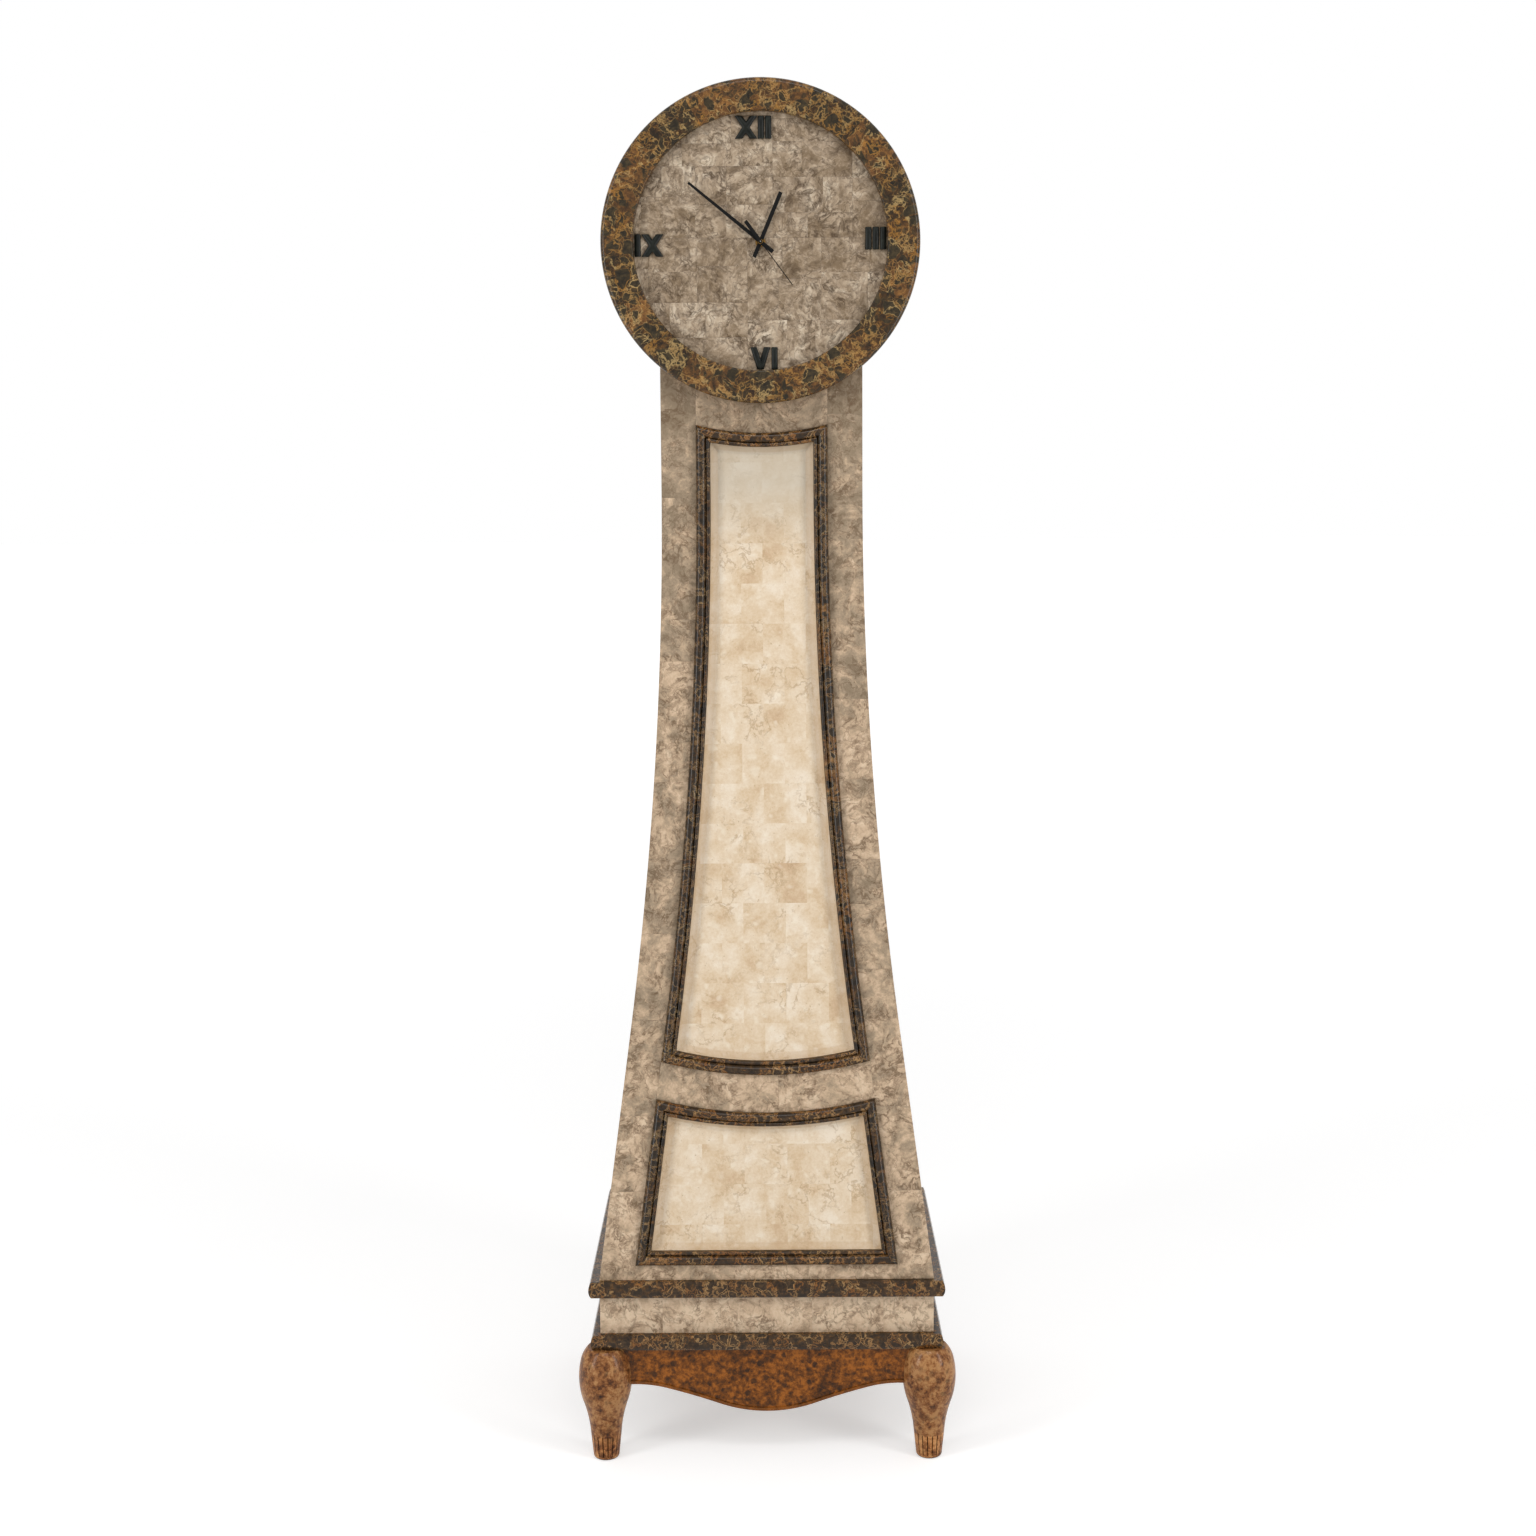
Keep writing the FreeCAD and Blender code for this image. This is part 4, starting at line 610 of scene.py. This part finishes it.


# Honed cream marble: broad warm clouds, specks of shell and a few tan hairlines, quiet from block to block;
# painted shade turns the margin's slopes a shade browner and the upper panel's top greyer under the head
def cream_marble():
    made, tree, shader = material("honed cream fossil marble")
    place = add(tree, "TexCoord").outputs["Object"]
    chance, moved = block_values(tree, place, PANEL_TILE)
    bent = warped(tree, moved, 40, 30)
    cloud = add(tree, "TexNoise", {"Vector": bent, "Scale": 1000 / 50, "Detail": 8, "Roughness": 0.62})
    grit = add(tree, "TexNoise", {"Vector": moved, "Scale": 1000 / 3.5, "Detail": 6, "Roughness": 0.8})
    body = add(tree, "Math", [grit, 0.45, cloud], operation="MULTIPLY_ADD")
    body = add(tree, "ValToRGB", [add(tree, "Math", [chance, 0.04, body], operation="MULTIPLY_ADD")],
        stops=[(0.54, "#c2a686"), (0.66, "#cfb899"), (0.77, "#d8c5ab"), (0.90, "#e1d3bf")])
    shell = add(tree, "TexVoronoi", {"Vector": bent, "Scale": 1000 / 19}, feature="SMOOTH_F1")
    shell = add(tree, "MapRange", [shell, 0.10, 0.26, 0.45, 0.0])
    ridge = wandering(tree, bent, 30, 0.53)
    where = add(tree, "TexNoise", {"Vector": place, "Scale": 1000 / 60, "Detail": 4})
    line = add(tree, "Math", [add(tree, "MapRange", [ridge, 0.0, 0.030, 0.6, 0.0]),
        add(tree, "MapRange", [where, 0.46, 0.60])], operation="MULTIPLY")
    pit = add(tree, "TexNoise", {"Vector": moved, "Scale": 1000 / 5, "Detail": 3, "Roughness": 0.6})
    line = add(tree, "Math", [line, add(tree, "MapRange", [pit, 0.66, 0.74, 0.0, 0.6])], operation="MAXIMUM")
    for share, tone in ((shell, "#e6dbc8"), (line, "#a0835f")):
        body = add(tree, "Mix", {"Factor": share, "A": body, "B": colour(tone)}, data_type="RGBA")
    # Painted shade: the top of the upper panel, under the overhanging head, turns greyer.
    grey = add(tree, "Mix", {"Factor": 0.75, "A": body, "B": colour("#b2a999")}, data_type="RGBA")
    high = add(tree, "MapRange", [add(tree, "SeparateXYZ", [place]).outputs["Z"], 1.32, 1.42, 0.0, 0.85])
    body = add(tree, "Mix", {"Factor": high, "A": body, "B": grey}, data_type="RGBA")
    # Painted shade: faces that slope away from the front, the coved margins, are turned browner.
    normal = add(tree, "NewGeometry").outputs["Normal"]
    facing = add(tree, "SeparateXYZ", [add(tree, "VectorMath", [normal], operation="ABSOLUTE")])
    slope_shade = add(tree, "Math", [add(tree, "MapRange", [facing.outputs["X"], 0.15, 0.35, 0.0, 0.62]),
        add(tree, "MapRange", [facing.outputs["Z"], 0.34, 0.48, 0.0, 0.62])], operation="MAXIMUM")
    tan = add(tree, "Mix", {"Factor": 0.6, "A": body, "B": colour("#a88a66")}, data_type="RGBA")
    body = add(tree, "Mix", {"Factor": slope_shade, "A": body, "B": tan}, data_type="RGBA")
    finished(tree, shader, body, (cloud, 0.36, 0.5), 0.3, line, -0.06)
    return made


finish_nodes(cream_marble(), "upper_panel", "lower_panel")

# Panel frames and base mouldings: polished dark brown marble, run in short lengths end to end,
# mitred and glued on. It is nearly black, netted with amber veins, and here and there a length
# is mostly amber.

NEAR_BLACK = [(0.30, "#14100b"), (0.50, "#241c13"), (0.70, "#3e3121")]
BROWNER = [(0.30, "#1b140c"), (0.50, "#312417"), (0.70, "#533e27")]


# Polished brecciated marble: dark rounded clasts in a crushed ground, netted with pale hairlines
def brecciated(name, place_of, clast_mm, wide, clasts, hairlines):
    """A piece's own chance, from 0 to 1, turns its ground from dark brown to amber. Wide is how much
    ground lies between the clasts, and the hairlines run between two tones."""
    made, tree, shader = material(name)
    place, amber = place_of(tree)
    bent = warped(tree, warped(tree, place, clast_mm * 1.6, clast_mm * 0.9), clast_mm * 0.4, clast_mm * 0.25)
    cell = add(tree, "TexVoronoi", {"Vector": bent, "Scale": 1000 / clast_mm}, feature="F1")
    edge = add(tree, "TexVoronoi", {"Vector": bent, "Scale": 1000 / clast_mm}, feature="DISTANCE_TO_EDGE")
    lot = add(tree, "SeparateColor", [cell.outputs["Color"]])
    need = add(tree, "Math", [lot, wide, 0.015], operation="MULTIPLY_ADD")
    need = add(tree, "Math", [amber, 0.10, need], operation="MULTIPLY_ADD")
    over = add(tree, "Math", [edge, need], operation="SUBTRACT")
    clast = add(tree, "MapRange", [over, -0.012, 0.02])
    rim = add(tree, "MapRange", [add(tree, "Math", [over], operation="ABSOLUTE"), 0.0, 0.035, 1.0, 0.0])
    cloud = add(tree, "TexNoise", {"Vector": bent, "Scale": 1000 / 8, "Detail": 7, "Roughness": 0.7})
    dark = add(tree, "ValToRGB", [cloud], stops=clasts)
    brown = add(tree, "ValToRGB", [cloud], stops=[(0.36, "#1a120a"), (0.52, "#362410"), (0.68, "#6a4820")])
    honey = add(tree, "ValToRGB", [cloud], stops=[
        (0.32, "#3c2713"), (0.50, "#664422"), (0.64, "#8a5f30"), (0.76, "#a67f4e")])
    share = add(tree, "MapRange", [amber, 0.1, 0.9])
    body = add(tree, "Mix", {"Factor": share, "A": brown, "B": honey}, data_type="RGBA")
    crumb = add(tree, "TexVoronoi", {"Vector": bent, "Scale": 1000 / (clast_mm * 0.28)}, feature="F1")
    crack = add(tree, "TexVoronoi", {"Vector": bent, "Scale": 1000 / (clast_mm * 0.28)},
        feature="DISTANCE_TO_EDGE")
    chosen = add(tree, "SeparateColor", [crumb.outputs["Color"]]).outputs["Green"]
    bits = add(tree, "Math", [add(tree, "MapRange", [chosen, 0.40, 0.50, 0.0, 0.75]),
        add(tree, "MapRange", [crack, 0.04, 0.10])], operation="MULTIPLY")
    for share in (bits, clast):
        body = add(tree, "Mix", {"Factor": share, "A": body, "B": dark}, data_type="RGBA")
    patchy = add(tree, "TexNoise", {"Vector": place, "Scale": 1000 / 24, "Detail": 5, "Roughness": 0.7})
    patchy = add(tree, "MapRange", [patchy, 0.46, 0.60])
    ringed = add(tree, "Math", [rim, add(tree, "MapRange", [patchy, 0.0, 1.0, 0.05, 0.75])],
        operation="MULTIPLY")
    inside = add(tree, "MapRange", [clast, 0.0, 1.0, 0.85, 0.10])
    thread = add(tree, "MapRange", [wandering(tree, bent, clast_mm * 1.6, detail=5), 0.0, 0.022, 0.6, 0.0])
    lace = add(tree, "MapRange", [crack, 0.0, 0.055, 0.9, 0.0])
    for way, other in (("MULTIPLY", patchy), ("MULTIPLY", inside), ("MAXIMUM", ringed), ("MAXIMUM", thread)):
        lace = add(tree, "Math", [lace, other], operation=way)
    first, second = [colour(tone) for tone in hairlines]
    vein = add(tree, "Mix", {"Factor": lot.outputs["Green"], "A": first, "B": second}, data_type="RGBA")
    body = add(tree, "Mix", {"Factor": lace, "A": body, "B": vein}, data_type="RGBA")
    finished(tree, shader, body, (cloud, 0.14, 0.26), 0.24, lace, -0.02)
    return made


def lengths(sizes, least):
    """Places and chances for mouldings set in lengths, in mm along each axis. The least chance is
    the one past which a length begins to turn amber."""
    def of_tree(tree):
        chance, moved = block_values(tree, add(tree, "TexCoord").outputs["Object"], sizes)
        return moved, add(tree, "MapRange", [chance, least, 1.0, 0.0, 0.9])

    return of_tree


WARM_LACE, DULL_LACE, WHOLE = ("#a5692f", "#c9a06a"), ("#744c27", "#a78a60"), 5000
RUNS = (
    ("along the front", (118, WHOLE, WHOLE), 0.25, BROWNER, WARM_LACE, (
        "lower_moulding_front", "upper_moulding_front", "upper_frame_top", "upper_frame_foot",
        "lower_frame_top", "lower_frame_foot")),
    ("up the sides", (WHOLE, WHOLE, 96), 0.55, NEAR_BLACK, DULL_LACE, (
        "upper_frame_sides", "lower_frame_sides")),
    ("along the sides", (WHOLE, 118, WHOLE), 0.25, BROWNER, WARM_LACE, (
        "lower_moulding_sides", "upper_moulding_sides")))
for label, sizes, least, clasts, hairlines, names in RUNS:
    marble = brecciated("polished dark marble " + label, lengths(sizes, least), 15, 0.16, clasts, hairlines)
    finish_nodes(marble, *names)

# Head skin: tiles bent round the drum, sawn thin and set like staves in three courses, with
# narrower ones to close each course at the neck. They are glued to the bent ply.

RING_OUTER, DRUM_FRONT, STAVE, HEAD_TILE_T = 224.0, -98.0, 20.0, 5.4


def stave_tree():
    """One course of equal staves, laid beside those before: each is one bent tile, turned about the
    head's axis, and keeps its own tint and its own place in the stone."""
    tree, given = new_tree("bent staves", "Skin", "Laid before",
        ("Radius", "Axis height", "Near", "Far", "Start", "Sweep", "Joint"), ("Count", "Seed"))
    flat = add(tree, "GeometryNodeMeshGrid", {"Size X": 1.0, "Size Y": 1.0, "Vertices X": 8, "Vertices Y": 5})
    here = add(tree, "SeparateXYZ", [add(tree, "GeometryNodeInputPosition")])
    gap = add(tree, "Math", [given["Joint"], given["Radius"]], operation="DIVIDE")
    span = add(tree, "Math", [gap, -2.0, given["Sweep"]], operation="MULTIPLY_ADD")
    lean = add(tree, "Math", [here.outputs["X"], span], operation="MULTIPLY")
    side, rise = [add(tree, "Math", [add(tree, "Math", [lean], operation=way), given["Radius"]],
        operation="MULTIPLY") for way in ("SINE", "COSINE")]
    depth = add(tree, "MapRange", [here.outputs["Y"], -0.5, 0.5,
        add(tree, "Math", [given["Near"], given["Joint"]], operation="ADD"),
        add(tree, "Math", [given["Far"], given["Joint"]], operation="SUBTRACT")])
    bent = add(tree, "GeometryNodeSetPosition", {
        "Geometry": flat, "Position": add(tree, "CombineXYZ", [side, depth, rise])})
    axis = add(tree, "CombineXYZ", [0.0, 0.0, given["Axis height"]])
    spots = add(tree, "GeometryNodePoints", {"Count": given["Count"], "Position": axis})
    order = add(tree, "Math", [add(tree, "GeometryNodeInputIndex"), 0.5], operation="ADD")
    turn = add(tree, "Math", [order, given["Sweep"], given["Start"]], operation="MULTIPLY_ADD")
    placed = add(tree, "GeometryNodeInstanceOnPoints", {
        "Points": spots, "Instance": bent, "Rotation": add(tree, "CombineXYZ", [0.0, turn, 0.0])})
    for label, low, high, kind in (("tint", -0.6, 0.6, "FLOAT"),
            ("grain", (-3, -3, -3), (3, 3, 3), "FLOAT_VECTOR")):
        own = add(tree, "FunctionNodeRandomValue", {"Min": low, "Max": high, "Seed": given["Seed"]},
            data_type=kind)
        placed = add(tree, "GeometryNodeStoreNamedAttribute",
            {"Geometry": placed, "Name": label, "Value": own}, data_type=kind, domain="INSTANCE")
    real = add(tree, "GeometryNodeRealizeInstances", [placed])
    shift = add(tree, "GeometryNodeInputNamedAttribute", {"Name": "grain"}, data_type="FLOAT_VECTOR")
    moved = add(tree, "VectorMath", [shift, add(tree, "GeometryNodeInputPosition")], operation="ADD")
    real = add(tree, "GeometryNodeStoreNamedAttribute", {"Geometry": real, "Name": "grain", "Value": moved},
        data_type="FLOAT_VECTOR", domain="POINT")
    skin = add(tree, "GeometryNodeJoinGeometry", [real])
    tree.links.new(given["Laid before"], skin.inputs[0])
    last = add(tree, "GeometryNodeSetMaterial", {"Geometry": skin, "Material": given["Finish"]})
    add(tree, "NodeGroupOutput", [last])
    return tree


courses = [(DRUM_FRONT, -NECK_FRONT - CLEAR, 140.0, STAVE, 4)]
for near, far, offset in ((DRUM_FRONT, -10, 0.0), (-10, 92, 10.0), (92, BACK_Y, 4.0)):
    courses += [(near, far, -139.8, 9.8 + offset, 1), (near, far, -130.0 + offset, STAVE, 12),
        (near, far, 110.0 + offset, 29.8 - offset, 1)]
runs = [{"Radius": RING_OUTER * MM, "Axis height": HEAD_Z * MM, "Near": near * MM, "Far": far * MM,
    "Start": math.radians(start), "Sweep": math.radians(sweep), "Joint": JOINT * MM, "Count": count,
    "Seed": seed, "Finish": skin_stone} for seed, (near, far, start, sweep, count) in enumerate(courses)]
staves = bmesh.new()
staves.from_mesh(grown("bent_staves", [], stave_tree(), runs))
laid("head_tiles", staves, HEAD_TILE_T, skin_stone, "head_stone")

# Dial ring: eighteen curved blocks of a livelier cut of the frames' marble, amber and dark by
# turns. They are butted into a ring, rounded on the outer edge, polished, and glued to the drum.

RING_INNER, RING_FRONT, RING_BACK, RING_ROUND, INNER_ROUND = 178.5, -126.0, -98.0, 7.0, 2.0
REBATE_R, DIAL_FRONT, REBATE_GAP, BUTT_GAP, FULL_TURN = 203.3, -112.0, 0.2, 0.06, 6.28


def ring_place(tree):
    """Places and chances for the ring's blocks, which carry their own."""
    place = add(tree, "Attribute", attribute_name="grain").outputs["Vector"]
    chance = add(tree, "Attribute", attribute_name="tint").outputs["Fac"]
    return place, chance


ring_marble = brecciated("polished amber brown marble", ring_place, 23, 0.25,
    [(0.30, "#140f08"), (0.50, "#2c2415"), (0.70, "#4a3d26")], ("#a8752f", "#c3a46c"))
outline = [(r, DIAL_FRONT + REBATE_GAP) for r in (REBATE_R, RING_INNER)]
for step in range(4):
    turn = math.radians(30 * step)
    outline.append((RING_INNER + INNER_ROUND * (1 - math.cos(turn)),
        RING_FRONT + INNER_ROUND * (1 - math.sin(turn))))
outline += [(RING_INNER + 14, RING_FRONT), (RING_INNER + 26, RING_FRONT)]
for step in range(9):
    turn = math.radians(90 - 11.25 * step)
    outline.append((RING_OUTER - RING_ROUND * (1 - math.cos(turn)),
        RING_FRONT + RING_ROUND * (1 - math.sin(turn))))
outline += [(RING_OUTER, RING_BACK), (REBATE_R, RING_BACK)]
blocks = [(-4, 0.05), (20, 0.5), (41, 0.1), (61, 0.8), (81, 0.1), (98, 0.35), (112, 0.7), (131, 0.15),
    (150, 0.5), (170, 0.6), (191, 0.2), (212, 0.55), (235, 0.0), (246, 0.9), (265, 0.1), (287, 0.35),
    (309, 0.6), (332, 0.1), (356, 0.75)]
mesh = new_tiles()
rng = random.Random(5)
for (start, _), (end, amber) in zip(blocks, blocks[1:]):
    grain = own_grain(rng, FULL_TURN)
    steps = max(3, round((end - start) / 2.5))
    sections = []
    for i in range(steps + 1):
        turn = math.radians(start + (end - start) * i / steps) + BUTT_GAP / RING_OUTER * (1 - 2 * i / steps)
        sections.append([corner(mesh, (r * math.sin(turn), y, HEAD_Z + r * math.cos(turn)), grain, amber)
            for r, y in outline])
    for first, second in zip(sections, sections[1:]):
        for quad in zip(first, first[1:] + first[:1], second[1:] + second[:1], second):
            mesh.faces.new(quad)
    mesh.faces.new(sections[0][::-1])
    mesh.faces.new(sections[-1])
bmesh.ops.recalc_face_normals(mesh, faces=mesh.faces)
data = settled("dial_ring_blocks", mesh)
dressed("dial_ring_blocks", data, ring_marble, "case", "dial_ring")

# Dial face: rectangles of travertine-like stone in uneven rows, each turned its own way, glued
# to the round dial board behind the ring, and honed flat after.

# Honed travertine: grey-brown clouds with swirling growth bands and umber hairlines, dull
dial_stone = figured_stone("honed swirled travertine",
    [(0.46, "#75624b"), (0.57, "#907d66"), (0.66, "#a5927b"), (0.74, "#b6a48d"), (0.86, "#c7b8a2")],
    "#453422", (0.95, 18), (0.62, 50), 0.42)
DIAL_R, DIAL_HALF, DIAL_TILE_T, DIAL_EDGE = 202.9, 215, 4.8, 0.2
TILE_WIDE, TILE_TALL, MIDDLE_SHARE, LONG_TILE = 92, 58, (0.36, 0.64), 1.35


def halved(low_x, low_z, high_x, high_z, rng):
    """Cuts a rectangle across its length, again and again, down to tiles as the mason lays them."""
    wide, tall = high_x - low_x, high_z - low_z
    if wide < TILE_WIDE and tall < TILE_TALL:
        return [(low_x, low_z, high_x, high_z)]
    share = rng.uniform(*MIDDLE_SHARE)
    if wide > LONG_TILE * tall:
        x = low_x + wide * share
        return halved(low_x, low_z, x, high_z, rng) + halved(x, low_z, high_x, high_z, rng)
    z = low_z + tall * share
    return halved(low_x, low_z, high_x, z, rng) + halved(low_x, z, high_x, high_z, rng)


def clipped(points, axis, limit, keep):
    """The part of a flat outline on one side of a line."""
    kept = []
    for here, there in zip(points, points[1:] + points[:1]):
        if keep * (here[axis] - limit) >= 0:
            kept.append(here)
        if (keep * (here[axis] - limit) >= 0) != (keep * (there[axis] - limit) >= 0):
            share = (limit - here[axis]) / (there[axis] - here[axis])
            kept.append([a + (b - a) * share for a, b in zip(here, there)])
    return kept


mesh = new_tiles()
rng = random.Random(29)
circle = [[DIAL_R * way(math.radians(3 * i)) for way in (math.sin, math.cos)] for i in range(120)]
for low_x, low_z, high_x, high_z in halved(-DIAL_HALF, -DIAL_HALF, DIAL_HALF, DIAL_HALF, rng):
    face = circle
    for axis, low, high in ((0, low_x, high_x), (1, low_z, high_z)):
        face = clipped(clipped(face, axis, low + JOINT, 1), axis, high - JOINT, -1)
    grain = own_grain(rng, FULL_TURN)
    lot = min(max(rng.gauss(0.0, 0.4), -1), 1)
    if len(face) > 2:
        mesh.faces.new([corner(mesh, (x, DIAL_FRONT, HEAD_Z + z), grain, lot) for x, z in face])
for face in mesh.faces:
    face.normal_update()
    if face.normal.y > 0:
        face.normal_flip()
laid("dial_tiles", mesh, DIAL_TILE_T, dial_stone, "dial_stone", DIAL_EDGE)

# Numerals: strokes ground from near-black green stone, domed and polished, and glued to the dial
# upright at twelve, three, six and nine.


# Polished serpentine: almost black, a trace of green in its clouds, with a clear polish
def black_stone():
    made, tree, shader = material("polished black green serpentine")
    place = add(tree, "TexCoord").outputs["Object"]
    cloud = add(tree, "TexNoise", {"Vector": place, "Scale": 1000 / 7, "Detail": 6})
    body = add(tree, "ValToRGB", [cloud], stops=[(0.35, "#0b0d0a"), (0.6, "#161914"), (0.8, "#282c24")])
    finished(tree, shader, body, (cloud, 0.3, 0.45), 0.16, cloud, 0.02)
    return made


STROKE_EDGE, WELD = 0.9, 1e-6
serpentine = black_stone()
for hour in ("numeral_twelve", "numeral_three", "numeral_six", "numeral_nine"):
    mesh = bmesh.new()
    mesh.from_mesh(nodes[hour].data)
    bmesh.ops.remove_doubles(mesh, verts=mesh.verts, dist=WELD)
    bmesh.ops.dissolve_limit(mesh, angle_limit=math.radians(1), verts=mesh.verts, edges=mesh.edges)
    dressed(hour + "_cut", solid_of(hour, mesh, STROKE_EDGE), serpentine, "case", hour)

# Movement: a battery movement in a moulded black case, with nylon wheels inside, clamped through
# the dial board by a brass nut on the threaded neck. The battery and the coil are at its back.

# Moulded polystyrene: even black, matt from the mould
finish_nodes(plain_finish("moulded black polystyrene", "#0b0b0b", "#161616", 1.5, 0.0, 0.45, 0.6, 0.4, 0.03),
    "movement_case", "movement_plates")
# Natural nylon: milky off-white, a little waxy
finish_nodes(plain_finish("moulded natural nylon", "#cfcbbf", "#e0ddd3", 2, 0.0, 0.4, 0.5, 0.4, 0.02),
    "centre_wheel", "hour_wheel", "second_wheel", "third_wheel", "minute_wheel", "setting_knob")
finish_nodes(zinc, "movement_electrics", "battery")
# Aged brass: a warm brown gold, a little dulled, with soft bright edges
brass = plain_finish("aged satin brass", "#6b4f26", "#a07c43", 3, 1.0, 0.28, 0.42, 0.5, 0.02)
finish_nodes(brass, "hand_cap", "fixing_nut")

# Hands: steel blades, stamped and painted satin black, pressed on the movement's pipes one
# behind the other; a brass cap nut holds the minute hand.

# Stoved paint: a thin satin black that catches light along the blades' edges
finish_nodes(plain_finish("satin black stoved paint", "#070707", "#0e0e0d", 2, 0.0, 0.45, 0.6, 0.12, 0.02),
    "hour_hand", "minute_hand", "second_hand")

# Service door: a square of the same ply in the head's back, to reach the movement, on two brass
# butt hinges with two screws to a leaf, and a turned brass knob.

HINGE_X, HINGE_RISE, LEAF_OFF, LEAF_OUT, LEAF_SCREW = -85.0, 65.0, 9.5, 201.5, 12.0
finish_nodes(sealed_ply("sealed softwood ply door, grain upright", 2), "service_door")
finish_nodes(brass, "hinge_case_leaves", "hinge_door_leaves", "door_knob")
for name, body, x in (("hinge_case_screws", "case", HINGE_X - LEAF_OFF),
        ("hinge_door_screws", "service_door", HINGE_X + LEAF_OFF)):
    paths = [[(x, LEAF_OUT, HEAD_Z + hinge + end) for end in (-LEAF_SCREW, LEAF_SCREW)]
        for hinge in (-HINGE_RISE, HINGE_RISE)]
    screwed(name, paths, (23.99, 2.4, 0.7, 0.6), 8, brass, body)

# Studio: a plain white floor and an even white surround, with two upright soft lamps before the
# clock and one above it.

scene = bpy.context.scene
scene.view_settings.view_transform = "Standard"
AMBIENT, LAMP_AIM, FLOOR_HALF = 0.55, 1.75, 30


def seen(tree):
    """One for rays that come from the camera, from a mirror or through glass; nought for light."""
    rays = add(tree, "LightPath").outputs
    either = add(tree, "Math", [rays["Is Camera Ray"], rays["Is Glossy Ray"]], operation="MAXIMUM")
    return add(tree, "Math", [either, rays["Is Transmission Ray"]], operation="MAXIMUM")


world = bpy.data.worlds.new("studio")
scene.world = world
world.use_nodes = True
world.node_tree.nodes.clear()
level = add(world.node_tree, "MapRange", [seen(world.node_tree), 0.0, 1.0, AMBIENT, 1.0])
sky = add(world.node_tree, "Background", {"Color": (1, 1, 1, 1), "Strength": level})
add(world.node_tree, "OutputWorld", [sky])

# Matt white paint: flat and even, just lifted to white where it is looked at
made, tree, shader = material("matt white floor")
shader.inputs["Base Color"].default_value = colour("#dcdcdc")
shader.inputs["Roughness"].default_value = 0.9
away = add(tree, "VectorMath", [add(tree, "TexCoord").outputs["Object"]], operation="LENGTH")
need = add(tree, "MapRange", [away, 1.2, 7.0, 0.46, 0.68])
lift = add(tree, "Math", [seen(tree), need], operation="MULTIPLY")
tree.links.new(live(lift), shader.inputs["Emission Strength"])
shader.inputs["Emission Color"].default_value = (1, 1, 1, 1)
floor_mesh = bpy.data.meshes.new("studio_floor")
floor_mesh.from_pydata([(FLOOR_HALF * x, FLOOR_HALF * y, 0) for x, y in ((-1, -1), (1, -1), (1, 1), (-1, 1))],
    [], [(0, 1, 2, 3)])
floor_mesh.materials.append(made)
linked("studio_floor", floor_mesh)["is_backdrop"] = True

for place, size, power in (((-2.5, -1.9, 1.75), (0.7, 3.2), 46), ((2.5, -1.9, 1.75), (0.7, 3.2), 46),
        ((0, -2.4, 3.8), (1.8, 0.8), 22)):
    lamp = bpy.data.lights.new("soft lamp", "AREA")
    lamp.shape, lamp.size, lamp.size_y, lamp.energy = "RECTANGLE", *size, power
    holder = linked("soft lamp", lamp)
    holder.location = place
    aim = Vector((0, 0, min(place[2], LAMP_AIM))) - holder.location
    holder.rotation_euler = aim.to_track_quat("-Z", "Y").to_euler()

camera = linked("camera", bpy.data.cameras.new("camera"))
camera.data.sensor_width, camera.data.lens, camera.data.shift_y = 36.0, 50.4, -0.0384
camera.location = (0.009, -3.185, 1.4745)
camera.rotation_euler = (math.radians(83.0), math.radians(0.34), 0.0)
camera.data.clip_end = 100.0
scene.camera = camera

low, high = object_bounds()
